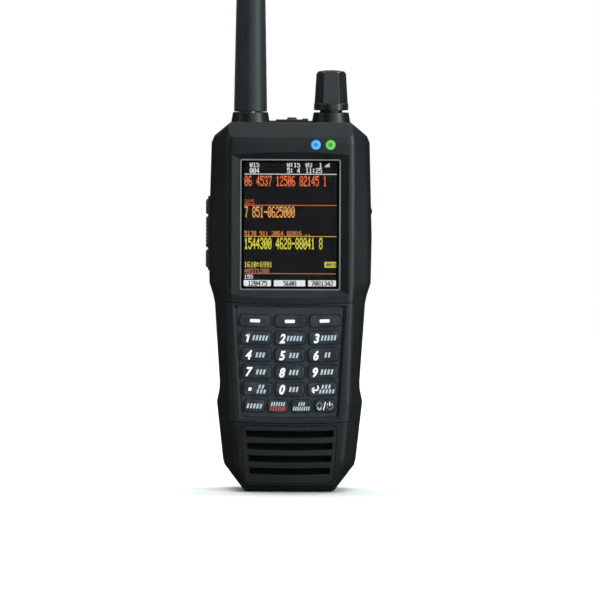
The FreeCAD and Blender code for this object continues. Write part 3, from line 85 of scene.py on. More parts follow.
class ShaderGraph:
    """A material's node tree with a Principled shader, and short ways to add the nodes that feed it."""

    noise_low = 0.3
    noise_high = 0.7
    flat_agreement = 0.995
    edge_agreement = 0.85

    def __init__(self, name: str) -> None:
        """Starts an empty material.

        Args:
            name: The material's name.
        """
        self.material = bpy.data.materials.new(name)
        self.material.use_nodes = True
        self.nodes = self.material.node_tree.nodes
        self.links = self.material.node_tree.links
        self.nodes.clear()
        output = self.nodes.new("ShaderNodeOutputMaterial")
        self.shader = self.nodes.new("ShaderNodeBsdfPrincipled")
        self.links.new(self.shader.outputs["BSDF"], output.inputs["Surface"])
        self.place = self.nodes.new("ShaderNodeTexCoord").outputs["Object"]

    def add(self, kind: str, inputs: dict[str | int, Any] | None = None, **settings: Any) -> bpy.types.Node:
        """Adds a node.

        Args:
            kind: The node's Blender type.
            inputs: Values or sockets for its inputs, by name or index.
            settings: Attributes of the node itself.

        Returns:
            The new node.
        """
        node = self.nodes.new(kind)
        for key, setting in settings.items():
            setattr(node, key, setting)
        for key, given in (inputs or {}).items():
            if isinstance(given, Socket):
                self.links.new(given, node.inputs[key])
            else:
                node.inputs[key].default_value = given
        return node

    def noise(self, size: float, detail: float = 2.0,
              stretch: Sequence[float] = (1, 1, 1)) -> Socket:
        """Soft noise in the object's own space.

        Args:
            size: The distance across one patch, in metres.
            detail: How many finer octaves it has.
            stretch: How much finer the noise is along X, Y and Z.

        Returns:
            The noise's value, about 0.3 to 0.7.
        """
        place = self.add("ShaderNodeMapping", {"Vector": self.place, "Scale": stretch}).outputs["Vector"]
        inputs = {"Vector": place, "Scale": 1 / size, "Detail": detail, "Roughness": 0.55}
        return self.add("ShaderNodeTexNoise", inputs).outputs["Fac"]

    def cells(self, size: float, feature: str = "F1") -> Socket:
        """The distance pattern of small cells, as in a spark-eroded or sprayed texture."""
        inputs = {"Vector": self.place, "Scale": 1 / size}
        return self.add("ShaderNodeTexVoronoi", inputs, feature=feature).outputs["Distance"]

    def remap(self, source: Socket, low: float, high: float, start: float, end: float) -> Any:
        """Stretches a value.

        Args:
            source: The value to stretch.
            low: What becomes start.
            high: What becomes end.
            start: The result at low.
            end: The result at high.

        Returns:
            The clamped result's socket.
        """
        inputs = {"Value": source, "From Min": low, "From Max": high, "To Min": start, "To Max": end}
        return self.add("ShaderNodeMapRange", inputs).outputs["Result"]

    def spread(self, source: Socket, start: float, end: float) -> Any:
        """Stretches noise from its usual range to a range from start to end."""
        return self.remap(source, self.noise_low, self.noise_high, start, end)

    def math(self, operation: str, one: Any, other: Any = 0.0) -> Socket:
        """One arithmetic step on numbers or sockets."""
        return self.add("ShaderNodeMath", {0: one, 1: other}, operation=operation).outputs[0]

    def mix(self, factor: Any, one: Any, other: Any) -> Socket:
        """Blends two colours.

        Args:
            factor: How much of the other colour there is, as a number or a socket.
            one: The first colour, or its socket.
            other: The other colour, or its socket.

        Returns:
            The blend's socket.
        """
        node = self.add("ShaderNodeMix", {"Factor": factor}, data_type="RGBA")
        for key, given in ((6, one), (7, other)):
            if isinstance(given, Socket):
                self.links.new(given, node.inputs[key])
            else:
                node.inputs[key].default_value = (*given, 1.0)
        return node.outputs[2]

    def soft_edges(self, radius: float) -> Socket:
        """A normal that rounds sharp edges over a radius."""
        return self.add("ShaderNodeBevel", {"Radius": radius}, samples=4).outputs["Normal"]

    def edge_mask(self, radius: float) -> Socket:
        """Finds the sharp edges.

        Args:
            radius: How far from an edge it reaches.

        Returns:
            A value that is 0 on a flat and nears 1 on an edge.
        """
        rounded = self.soft_edges(radius)
        true_normal = self.add("ShaderNodeNewGeometry").outputs["Normal"]
        dot = self.add("ShaderNodeVectorMath", {0: rounded, 1: true_normal}, operation="DOT_PRODUCT")
        return self.remap(dot.outputs["Value"], self.flat_agreement, self.edge_agreement, 0.0, 1.0)

    def bump(self, height: Any, distance: float, strength: float = 1.0, normal: Any = None) -> Any:
        """Adds relief.

        Args:
            height: The relief's pattern, from 0 to 1.
            distance: Its depth in metres.
            strength: How strongly it shows.
            normal: The normal it builds on, if any.

        Returns:
            The new normal's socket.
        """
        inputs = {"Height": height, "Distance": distance, "Strength": strength}
        if normal is not None:
            inputs["Normal"] = normal
        return self.add("ShaderNodeBump", inputs).outputs["Normal"]

    def set(self, **values: Any) -> None:
        """Sets the shader's own sockets.

        Args:
            values: Numbers, colours or sockets, by the socket's name with underscores for spaces.
        """
        for key, given in values.items():
            socket = self.shader.inputs[key.replace("_", " ")]
            if isinstance(given, Socket):
                self.links.new(given, socket)
            elif isinstance(given, tuple):
                socket.default_value = (*given, 1.0)
            else:
                socket.default_value = given


@dataclass(frozen=True)
class MouldedPlastic:
    """Moulded plastic with a spark-eroded grain, slightly polished along its edges by handling."""

    name: str
    colour: Colour = (0.0045, 0.0058, 0.006)
    worn: Colour = (0.011, 0.0132, 0.0137)
    roughness: float = 0.38
    grain: float = 0.32 * MM
    relief: float = 0.018 * MM
    edge: float = 0.25 * MM
    specular: float = 0.36

    def material(self) -> bpy.types.Material:
        """Builds the material."""
        graph = ShaderGraph(self.name)
        cloud = graph.noise(9 * MM, detail=3.0)
        fine = graph.noise(self.grain, detail=2.0)
        tone = graph.mix(graph.remap(cloud, 0.35, 0.65, 0.0, 0.35), self.colour, self.worn)
        rubbed = graph.math("MULTIPLY", graph.edge_mask(self.edge), graph.remap(cloud, 0.4, 0.62, 0.25, 0.8))
        colour = graph.mix(rubbed, tone, self.worn)
        shine = graph.spread(fine, self.roughness - 0.06, self.roughness + 0.1)
        polished = graph.math("SUBTRACT", shine, graph.math("MULTIPLY", rubbed, 0.12))
        rounded = graph.soft_edges(self.edge)
        pebbles = graph.bump(graph.cells(self.grain), self.relief, 0.55, rounded)
        graph.set(Base_Color=colour, Roughness=polished, Specular_IOR_Level=self.specular,
                  Normal=graph.bump(fine, self.relief * 0.7, 0.6, pebbles))
        return graph.material


@dataclass(frozen=True)
class MouldedRubber:
    """Silicone or thermoplastic rubber: a fine even skin, dusty in places, with a painted highlight that
    lightens its sharp edges.
    """

    name: str
    colour: Colour = (0.006, 0.0075, 0.008)
    dust_and_highlight: Colour = (0.018, 0.021, 0.0225)
    roughness: float = 0.58
    grain: float = 0.12 * MM
    edge: float = 0.3 * MM
    sheen: float = 0.08

    def material(self) -> bpy.types.Material:
        """Builds the material."""
        graph = ShaderGraph(self.name)
        patches = graph.noise(5 * MM, detail=4.0)
        fine = graph.noise(self.grain, detail=1.0)
        settled = graph.remap(patches, 0.42, 0.7, 0.0, 0.4)
        # Sharp edges are pulled toward the dust colour: a painted highlight along the rims; the settled
        # patches above are real dust.
        edges = graph.math("MULTIPLY", graph.edge_mask(self.edge), 0.55)
        colour = graph.mix(graph.math("MAXIMUM", settled, edges), self.colour, self.dust_and_highlight)
        skin = graph.spread(fine, self.roughness - 0.05, self.roughness + 0.08)
        graph.set(Base_Color=colour, Roughness=skin,
                  Sheen_Weight=self.sheen, Sheen_Roughness=0.4, Specular_IOR_Level=0.4,
                  Normal=graph.bump(fine, 0.006 * MM, 0.5, graph.soft_edges(self.edge)))
        return graph.material


class Surface(Enum):
    """How a metal piece's surface was worked, as the fineness of its lines along X, Y and Z."""

    TURNED = (1, 1, 30)
    DRAWN = (1, 30, 1)
    PLATED = (1, 1, 1)


@dataclass(frozen=True)
class WorkedMetal:
    """Plated, drawn or turned metal with the tool's fine lines."""

    name: str
    colour: Colour = (0.55, 0.56, 0.57)
    roughness: float = 0.3
    surface: Surface = Surface.PLATED

    def material(self) -> bpy.types.Material:
        """Builds the material."""
        graph = ShaderGraph(self.name)
        lines = graph.noise(1.2 * MM, detail=3.0, stretch=self.surface.value)
        stain = graph.noise(3 * MM, detail=2.0)
        dull = tuple(part * 0.72 for part in self.colour)
        colour = graph.mix(graph.remap(stain, 0.4, 0.7, 0.0, 0.6), self.colour, dull)
        graph.set(Base_Color=colour, Metallic=1.0,
                  Roughness=graph.spread(lines, self.roughness - 0.08, self.roughness + 0.12),
                  Normal=graph.bump(lines, 0.004 * MM, 0.4, graph.soft_edges(0.12 * MM)))
        return graph.material


@dataclass(frozen=True)
class ClearWindow:
    """Hard-coated clear acrylic with faint wiping marks."""

    name: str
    colour: Colour = (0.93, 0.95, 0.97)
    roughness: float = 0.02

    def material(self) -> bpy.types.Material:
        """Builds the material."""
        graph = ShaderGraph(self.name)
        smears = graph.noise(7 * MM, detail=5.0, stretch=(1, 1, 0.35))
        graph.set(Base_Color=self.colour, Transmission_Weight=1.0, IOR=1.49,
                  Roughness=graph.remap(smears, 0.45, 0.75, self.roughness, self.roughness + 0.05),
                  Normal=graph.bump(graph.noise(12 * MM, detail=1.0), 0.004 * MM, 0.1))
        return graph.material


@dataclass(frozen=True)
class LitPixels:
    """A lit part of the display, in rows of fine pixels."""

    name: str
    colour: Colour
    strength: float = 0.95
    pitch: float = 0.21 * MM

    def material(self) -> bpy.types.Material:
        """Builds the material."""
        graph = ShaderGraph(self.name)
        inputs = {"Vector": graph.place, "Scale": math.tau / (20 * self.pitch)}
        rows = graph.add("ShaderNodeTexWave", inputs, bands_direction="Z").outputs["Fac"]
        uneven = graph.spread(graph.noise(2 * MM, detail=1.0), 0.9, 1.05)
        level = graph.math("MULTIPLY", graph.remap(rows, 0.0, 1.0, 0.86, 1.0), uneven)
        lit = graph.mix(level, (0.0, 0.0, 0.0), self.colour)
        graph.set(Base_Color=(0.01, 0.01, 0.01), Roughness=0.3, Emission_Color=lit,
                  Emission_Strength=self.strength)
        return graph.material


@dataclass(frozen=True)
class PrintedInk:
    """Pad-printed ink on rubber or plastic: slightly uneven in cover and worn at its rim."""

    name: str
    colour: Colour
    roughness: float = 0.5

    def material(self) -> bpy.types.Material:
        """Builds the material."""
        graph = ShaderGraph(self.name)
        cover = graph.noise(0.5 * MM, detail=4.0)
        thin = tuple(part * 0.72 for part in self.colour)
        graph.set(Base_Color=graph.mix(graph.remap(cover, 0.5, 0.75, 0.0, 0.7), self.colour, thin),
                  Roughness=graph.spread(cover, self.roughness, self.roughness + 0.15),
                  Normal=graph.bump(cover, 0.01 * MM, 0.4))
        return graph.material


@dataclass(frozen=True)
class LampLens:
    """A translucent lamp lens: a bright core, a paler ring and a dark rim, about its own axis."""

    name: str
    centre: Vector
    radius: float
    core: Colour
    ring: Colour
    rim: Colour

    def material(self) -> bpy.types.Material:
        """Builds the material."""
        graph = ShaderGraph(self.name)
        inputs = {0: graph.place, 1: tuple(self.centre)}
        offset = graph.add("ShaderNodeVectorMath", inputs, operation="SUBTRACT").outputs[0]
        flat = graph.add("ShaderNodeVectorMath", {0: offset, 1: (1, 0, 1)}, operation="MULTIPLY").outputs[0]
        reach = graph.add("ShaderNodeVectorMath", {0: flat}, operation="LENGTH").outputs["Value"]
        speckle = graph.spread(graph.noise(0.3 * MM, detail=2.0), 0.92, 1.06)
        share = graph.math("MULTIPLY", graph.math("DIVIDE", reach, self.radius), speckle)
        inner = graph.mix(graph.remap(share, 0.28, 0.5, 0.0, 1.0), self.core, self.ring)
        glow = graph.mix(graph.remap(share, 0.78, 1.0, 0.0, 1.0), inner, self.rim)
        graph.set(Base_Color=glow, Roughness=0.3, Emission_Color=glow, Emission_Strength=0.55,
                  Specular_IOR_Level=0.2)
        return graph.material


@dataclass(frozen=True)
class SolderMask:
    """A circuit board's lacquer over fine copper tracks."""

    name: str
    colour: Colour = (0.012, 0.09, 0.04)
    track: Colour = (0.03, 0.19, 0.08)

    def material(self) -> bpy.types.Material:
        """Builds the material."""
        graph = ShaderGraph(self.name)
        lanes = graph.cells(1.3 * MM, feature="DISTANCE_TO_EDGE")
        traced = graph.remap(lanes, 0.05, 0.09, 1.0, 0.0)
        haze = graph.noise(4 * MM)
        graph.set(Base_Color=graph.mix(traced, self.colour, self.track),
                  Roughness=graph.spread(haze, 0.25, 0.4),
                  Normal=graph.bump(traced, 0.02 * MM, 0.6), Coat_Weight=0.3)
        return graph.material


@dataclass(frozen=True)
class SpeakerCloth:
    """Fine black woven cloth, stretched flat, its colours darkened past black cloth's own as painted shade,
    so the slots in front of it read black.
    """

    name: str
    # Both colours are painted shade as well as the cloth's own black.
    shaded_thread: Colour = (0.004, 0.0045, 0.0045)
    shaded_hollow: Colour = (0.0008, 0.0008, 0.0009)
    pitch: float = 0.42 * MM

    def material(self) -> bpy.types.Material:
        """Builds the material."""
        graph = ShaderGraph(self.name)
        inputs = {"Vector": graph.place, "Scale": math.tau / (20 * self.pitch)}
        across, up = (
            graph.add("ShaderNodeTexWave", inputs, bands_direction=way).outputs["Fac"] for way in ("X", "Z")
        )
        weave = graph.math("MULTIPLY", across, up)
        graph.set(Base_Color=graph.mix(weave, self.shaded_hollow, self.shaded_thread), Roughness=0.9,
                  Normal=graph.bump(weave, 0.08 * MM, 0.8), Specular_IOR_Level=0.1)
        return graph.material


@dataclass(frozen=True)
class StudioPaper:
    """Seamless pale paper for the floor."""

    name: str
    colour: Colour = (0.9, 0.9, 0.9)

    def material(self) -> bpy.types.Material:
        """Builds the material."""
        graph = ShaderGraph(self.name)
        pulp = graph.noise(0.02, detail=4.0)
        faded = tuple(part * 0.97 for part in self.colour)
        graph.set(Base_Color=graph.mix(pulp, self.colour, faded), Roughness=0.9)
        return graph.material


# -------------------------------- making pieces


def add_object(name: str, data: Any) -> bpy.types.Object:
    """Makes an object of a mesh, a curve, a light or a camera, and puts it in the scene."""
    made = bpy.data.objects.new(name, data)
    bpy.context.scene.collection.objects.link(made)
    return made


class FlatWork:
    """Thin flat pieces, such as ink or lit glyphs, made from outlines on a plane that faces forward."""

    corner_steps = 4
    end_steps = 6

    @staticmethod
    def piece(name: str, outlines: Iterable[Outline], place: Matrix, thickness: float) -> bpy.types.Object:
        """Raises outlines into one thin piece.

        Args:
            name: The piece's name.
            outlines: Closed outlines, anticlockwise as seen from the front, in metres across and up.
            place: Where the plane's origin goes and how it is turned.
            thickness: How far the front face stands off the plane.

        Returns:
            The new object.
        """
        shape = bmesh.new()
        for outline in outlines:
            front = [shape.verts.new((x, -thickness, z)) for x, z in outline]
            back = [shape.verts.new((x, 0.0, z)) for x, z in outline]
            shape.faces.new(front)
            shape.faces.new(list(reversed(back)))
            for i, corner in enumerate(front):
                after = (i + 1) % len(front)
                shape.faces.new((corner, back[i], back[after], front[after]))
        bmesh.ops.recalc_face_normals(shape, faces=shape.faces)
        shape.transform(place)
        mesh = bpy.data.meshes.new(name)
        shape.to_mesh(mesh)
        shape.free()
        return add_object(name, mesh)

    @staticmethod
    def rounded(width: float, height: float, corner: float, centre: Point = (0.0, 0.0),
                slant: float = 0.0) -> Outline:
        """A rounded rectangle.

        Args:
            width: Its width.
            height: Its height.
            corner: The corners' radius.
            centre: Where its middle goes.
            slant: How far it leans to the right for each unit of height.

        Returns:
            Its outline.
        """
        points: Outline = []
        for turn, (sx, sz) in enumerate(((1, -1), (1, 1), (-1, 1), (-1, -1))):
            for step in range(FlatWork.corner_steps + 1):
                angle = math.radians(-90 + 90 * turn + 90 / FlatWork.corner_steps * step)
                x = sx * (width / 2 - corner) + corner * math.cos(angle)
                z = sz * (height / 2 - corner) + corner * math.sin(angle)
                points.append((centre[0] + x + slant * z, centre[1] + z))
        return points

    @staticmethod
    def ribbon(points: Sequence[Point], width: float) -> list[Outline]:
        """A drawn line of even width with round ends.

        Args:
            points: What it runs through.
            width: Its width.

        Returns:
            One outline for each straight run.
        """
        runs = []
        for (x0, z0), (x1, z1) in zip(points, points[1:]):
            heading = math.atan2(z1 - z0, x1 - x0)
            run: Outline = []
            for end_x, end_z, start in ((x1, z1, -90), (x0, z0, 90)):
                for step in range(FlatWork.end_steps + 1):
                    angle = heading + math.radians(start + 180 / FlatWork.end_steps * step)
                    run.append((end_x + width / 2 * math.cos(angle), end_z + width / 2 * math.sin(angle)))
            runs.append(run)
        return runs

    @staticmethod
    def arc(centre: Point, radius: float, start: float, end: float, steps: int = 16) -> list[Point]:
        """Points along an arc between two angles in degrees."""
        angles = [math.radians(start + (end - start) * i / steps) for i in range(steps + 1)]
        return [(centre[0] + radius * math.cos(a), centre[1] + radius * math.sin(a)) for a in angles]


def dress(piece: bpy.types.Object, material: bpy.types.Material, body: str | None = None) -> None:
    """Gives a piece its material and, if it is a new one, the body that it rides on.

    Args:
        piece: The object to dress.
        material: Its material.
        body: The body that a new piece moves with.
    """
    piece.data.materials.clear()
    piece.data.materials.append(material)
    if body:
        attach(piece, body)


@dataclass
class SubAssembly:
    """A group of the radio's pieces that share a place or a purpose."""

    frame: dict[str, Any]

    def finish(self, material: bpy.types.Material, names: Iterable[str]) -> None:
        """Gives ready-made pieces a material.

        Args:
            material: The material.
            names: The pieces' names.
        """
        for name in names:
            dress(self.frame["nodes"][name], material)
            LOG.info("finished %s as %s", name, material.name)

    def build(self) -> None:
        """Builds the sub-assembly."""
        raise NotImplementedError


# -------------------------------- sub-assemblies


@dataclass
class CaseShells(SubAssembly):
    """The front and rear shells, the keypad frame, the speaker grille and the seals between them."""

    cloth_lead: float = 0.05 * MM
    cloth_side_margin: float = 2.6 * MM
    cloth_end_margin: float = 1.6 * MM
    cloth_corner: float = 1.5 * MM
    cloth_thickness: float = 0.2 * MM

    def build(self) -> None:
        """Builds the sub-assembly."""
        shell = MouldedPlastic("case_plastic_grained").material()
        self.finish(shell, ("front_case", "rear_case"))
        # Lighter than the case's plastic: a painted highlight that brightens the keypad frame's rails and the
        # grille's bars.
        lightened_frame_plastic = MouldedPlastic("frame_plastic_grained", colour=(0.0085, 0.0105, 0.011), grain=0.26 * MM)
        self.finish(lightened_frame_plastic.material(), ("keypad_frame", "speaker_grille"))
        self.finish(MouldedRubber("seal_rubber_soft").material(), ("case_gasket",))
        self.add_cloth()

    def add_cloth(self) -> None:
        """Stretches cloth behind the speaker's slots."""
        low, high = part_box("speaker_grille")
        speaker_low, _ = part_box("speaker")
        width = high.x - low.x - 2 * self.cloth_side_margin
        height = high.z - low.z - 2 * self.cloth_end_margin
        outline = FlatWork.rounded(width, height, self.cloth_corner)
        middle = (low + high) / 2
        middle.y = speaker_low.y - self.cloth_lead
        cloth = FlatWork.piece("speaker_cloth", [outline], Matrix.Translation(middle), self.cloth_thickness)
        dress(cloth, SpeakerCloth("speaker_cloth_woven").material(), "housing")
        LOG.info("added speaker cloth")


DOT_COLUMNS = 5
DOT_ROWS = 7
DOT_GLYPHS: dict[str, tuple[str, ...]] = {
    "0": (" ### ", "#   #", "#  ##", "# # #", "##  #", "#   #", " ### "),
    "1": ("  #  ", " ##  ", "  #  ", "  #  ", "  #  ", "  #  ", " ### "),
    "2": (" ### ", "#   #", "    #", "  ## ", " #   ", "#    ", "#####"),
    "3": (" ### ", "#   #", "    #", "  ## ", "    #", "#   #", " ### "),
    "4": ("   # ", "  ## ", " # # ", "#  # ", "#####", "   # ", "   # "),
    "5": ("#####", "#    ", "#### ", "    #", "    #", "#   #", " ### "),
    "6": (" ### ", "#    ", "#    ", "#### ", "#   #", "#   #", " ### "),
    "7": ("#####", "    #", "   # ", "   # ", "  #  ", "  #  ", "  #  "),
    "8": (" ### ", "#   #", "#   #", " ### ", "#   #", "#   #", " ### "),
    "9": (" ### ", "#   #", "#   #", " ####", "    #", "    #", " ### "),
    ".": ("     ", "     ", "     ", "     ", "     ", " ##  ", " ##  "),
    ":": ("     ", " ##  ", " ##  ", "     ", " ##  ", " ##  ", "     "),
    "-": ("     ", "     ", "     ", "#####", "     ", "     ", "     "),
}


@dataclass(frozen=True)
class ReadoutRow:
    """One row of digits on the display, in millimetres."""

    name: str
    digits: str
    left: float
    top: float
    width: float
    height: float
    colour: str


@dataclass
class DisplayUnit(SubAssembly):
    """The display window, its border, the panel behind it and the lit readout."""

    layer: float = 0.12 * MM
    colours: dict[str, Colour] = field(default_factory=lambda: {
        "white": (1.0, 1.0, 1.0),
        "red": (1.0, 0.17, 0.04),
        "rust": (0.62, 0.08, 0.025),
        "orange": (1.0, 0.42, 0.1),
        "amber": (0.8, 0.3, 0.07),
        "yellow": (0.9, 0.8, 0.06),
        "rose": (0.62, 0.2, 0.12),
        "ink": (0.002, 0.002, 0.003),
    })
    rows: tuple[ReadoutRow, ...] = (
        ReadoutRow("status_left", "015", -16.6, 134.9, 3.8, 2.1, "white"),
        ReadoutRow("status_left_low", "004", -16.6, 132.5, 3.8, 2.1, "white"),
        ReadoutRow("status_mid", "0:15", -1.4, 134.9, 5.2, 2.1, "white"),
        ReadoutRow("status_mid_low", "5: 4", -1.4, 132.5, 5.2, 2.1, "white"),
        ReadoutRow("status_right", "03  1", 6.2, 134.9, 6.6, 2.1, "white"),
        ReadoutRow("status_right_low", "11:25", 6.2, 132.5, 6.6, 2.1, "white"),
        ReadoutRow("system_row", "06 4537 12506 82145 1", -18.7, 129.3, 33.4, 4.2, "red"),
        ReadoutRow("system_note", "325", -18.7, 119.6, 3.9, 1.9, "rust"),
        ReadoutRow("group_row", "7 851-0625000", -18.7, 116.8, 20.4, 4.5, "orange"),
        ReadoutRow("group_note", "5170 91: 3064 82016 ..", -18.7, 106.8, 27.0, 1.9, "amber"),
        ReadoutRow("channel_row", "1544300 4628-88041 8", -18.7, 104.0, 31.8, 4.6, "yellow"),
        ReadoutRow("channel_note", "1610:6991", -18.7, 94.2, 11.3, 2.2, "yellow"),
        ReadoutRow("service_note", "40571208", -18.7, 91.4, 10.1, 1.7, "rose"),
        ReadoutRow("mode_note", "155", -18.7, 88.9, 3.5, 1.7, "white"),
    )
    rules: tuple[tuple[str, float, str], ...] = (
        ("status_rule", 130.0, "white"),
        ("system_rule", 117.3, "red"),
        ("group_rule", 104.6, "orange"),
        ("service_rule", 89.4, "rose"),
    )
    menu_boxes: tuple[tuple[float, float], ...] = ((-18.9, -7.8), (-6.6, 6.2), (7.4, 18.7))
    ink_weight: float = 1.05
    menu_digits: tuple[str, ...] = ("120475", "5608", "7081342")
    menu_level: float = 85.4
    menu_height: float = 2.6
    menu_corner: float = 0.12
    menu_pitch: float = 1.28
    menu_digit_top: float = 86.45
    menu_digit_height: float = 2.1
    tag: ReadoutRow = ReadoutRow("hold_digits", "4018", 14.45, 93.9, 4.1, 1.6, "ink")
    tag_size: Point = (4.7, 2.3)
    tag_centre: Point = (16.4, 93.1)
    bar_count: int = 4
    bar_width: float = 0.34
    bar_pitch: float = 0.5
    bar_foot: Point = (14.2, 132.9)
    bar_first: float = 0.5
    bar_step: float = 0.38
    rule_half: float = 18.8
    rule_height: float = 0.27
    fine_corner: float = 0.05
    sink: float = 0.02 * MM
    inks: dict[str, bpy.types.Material] = field(default_factory=dict, init=False)
    plane: float = field(default=0.0, init=False)

    def build(self) -> None:
        """Builds the sub-assembly."""
        self.finish(ClearWindow("display_window_clear").material(), ("display_lens",))
        # The border's light grey, lighter still at its worn edges, is partly its own colour and partly a
        # painted highlight along the lens's edge.
        border = MouldedPlastic("display_border_grey_and_highlight", colour=(0.12, 0.13, 0.13), worn=(0.22, 0.23, 0.23),
                                roughness=0.35, grain=0.2 * MM, relief=0.006 * MM)
        self.finish(border.material(), ("display_bezel",))
        panel = MouldedPlastic("display_panel_black", colour=(0.0022, 0.0022, 0.0026),
                               worn=(0.004, 0.004, 0.005), roughness=0.22, grain=0.2 * MM, relief=0.0,
                               edge=0.1 * MM, specular=0.2)
        self.finish(panel.material(), ("lcd_panel",))
        for name, colour in self.colours.items():
            self.inks[name] = LitPixels(f"pixels_{name}", colour).material()
        self.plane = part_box("lcd_panel")[0].y
        for row in self.rows:
            self.add_row(row)
        for name, level, colour in self.rules:
            bar = FlatWork.rounded(2 * self.rule_half * MM, self.rule_height * MM, self.fine_corner * MM,
                                   (0, level * MM))
            self.add_lit(name, [bar], colour)
        self.add_menu()
        self.add_icons()

    def add_lit(self, name: str, outlines: Iterable[Outline], colour: str, layer: int = 1) -> None:
        """Adds lit shapes to the display.

        Args:
            name: The piece's name.
            outlines: Its shapes, in the radio's frame.
            colour: The name of its colour.
            layer: How many layers it lies above the panel.
        """
        place = Matrix.Translation((0, self.plane - self.sink, 0))
        lit = FlatWork.piece(f"readout_{name}", outlines, place, layer * self.layer)
        dress(lit, self.inks[colour], "housing")
        LOG.info("lit %s", name)

    @staticmethod
    def glyph_runs(digits: str, left: float, top: float, width: float, height: float,
                   weight: float) -> list[Outline]:
        """The lit runs of a row of dot-matrix digits, in metres.

        Args:
            digits: What the row reads.
            left: Its left edge in millimetres.
            top: Its top edge in millimetres.
            width: Its whole width in millimetres.
            height: Its height in millimetres.
            weight: How much wider than its dots each run is, in dots.

        Returns:
            One outline for each run of lit dots.
        """
        pitch = DOT_COLUMNS + 1
        cell = width / (pitch * len(digits) - 1)
        line = height / DOT_ROWS
        runs: list[Outline] = []
        for place, digit in enumerate(digits):
            for row, pattern in enumerate(DOT_GLYPHS.get(digit, ())):
                start = None
                for column in range(pitch):
                    lit = column < DOT_COLUMNS and pattern[column] == "#"
                    if lit and start is None:
                        start = column
                    if not lit and start is not None:
                        x0 = (left + (pitch * place + start) * cell) * MM
                        x1 = (left + (pitch * place + column + weight) * cell) * MM
                        z1 = (top - row * line) * MM
                        z0 = (top - row * line - line) * MM
                        runs.append([(x0, z0), (x1, z0), (x1, z1), (x0, z1)])
                        start = None
        return runs

    def add_row(self, row: ReadoutRow, weight: float = 0.3, layer: int = 1) -> None:
        """Lights one row of digits at a weight and on a layer."""
        runs = self.glyph_runs(row.digits, row.left, row.top, row.width, row.height, weight)
        self.add_lit(row.name, runs, row.colour, layer)

    def add_menu(self) -> None:
        """Lights the three boxes above the soft keys, each with its dark digits, and the hold tag."""
        for i, ((left, right), digits) in enumerate(zip(self.menu_boxes, self.menu_digits)):
            middle = ((left + right) / 2 * MM, self.menu_level * MM)
            box = FlatWork.rounded((right - left) * MM, self.menu_height * MM, self.menu_corner * MM, middle)
            self.add_lit(f"menu_box_{i}", [box], "white")
            width = self.menu_pitch * len(digits)
            runs = self.glyph_runs(digits, (left + right - width) / 2, self.menu_digit_top, width,
                                   self.menu_digit_height, self.ink_weight)
            self.add_lit(f"menu_digits_{i}", runs, "ink", layer=2)
        (width, height), (x, z) = self.tag_size, self.tag_centre
        tag = FlatWork.rounded(width * MM, height * MM, 2 * self.fine_corner * MM, (x * MM, z * MM))
        self.add_lit("hold_tag", [tag], "yellow")
        self.add_row(self.tag, self.ink_weight, layer=2)

    def add_icons(self) -> None:
        """Lights the signal bars beside the clock."""
        bars = []
        left, foot = self.bar_foot
        for i in range(self.bar_count):
            height = (self.bar_first + self.bar_step * i) * MM
            centre = ((left + self.bar_pitch * i) * MM, foot * MM + height / 2)
            bars.append(FlatWork.rounded(self.bar_width * MM, height, 0.04 * MM, centre))
        self.add_lit("signal_bars", bars, "white")


@dataclass(frozen=True)
class Tally:
    """A row of slanted blocks on a key that stands for a second legend, in millimetres."""

    name: str
    count: int
    centre: Point
    width: float
    height: float
    ink: str = "pale"


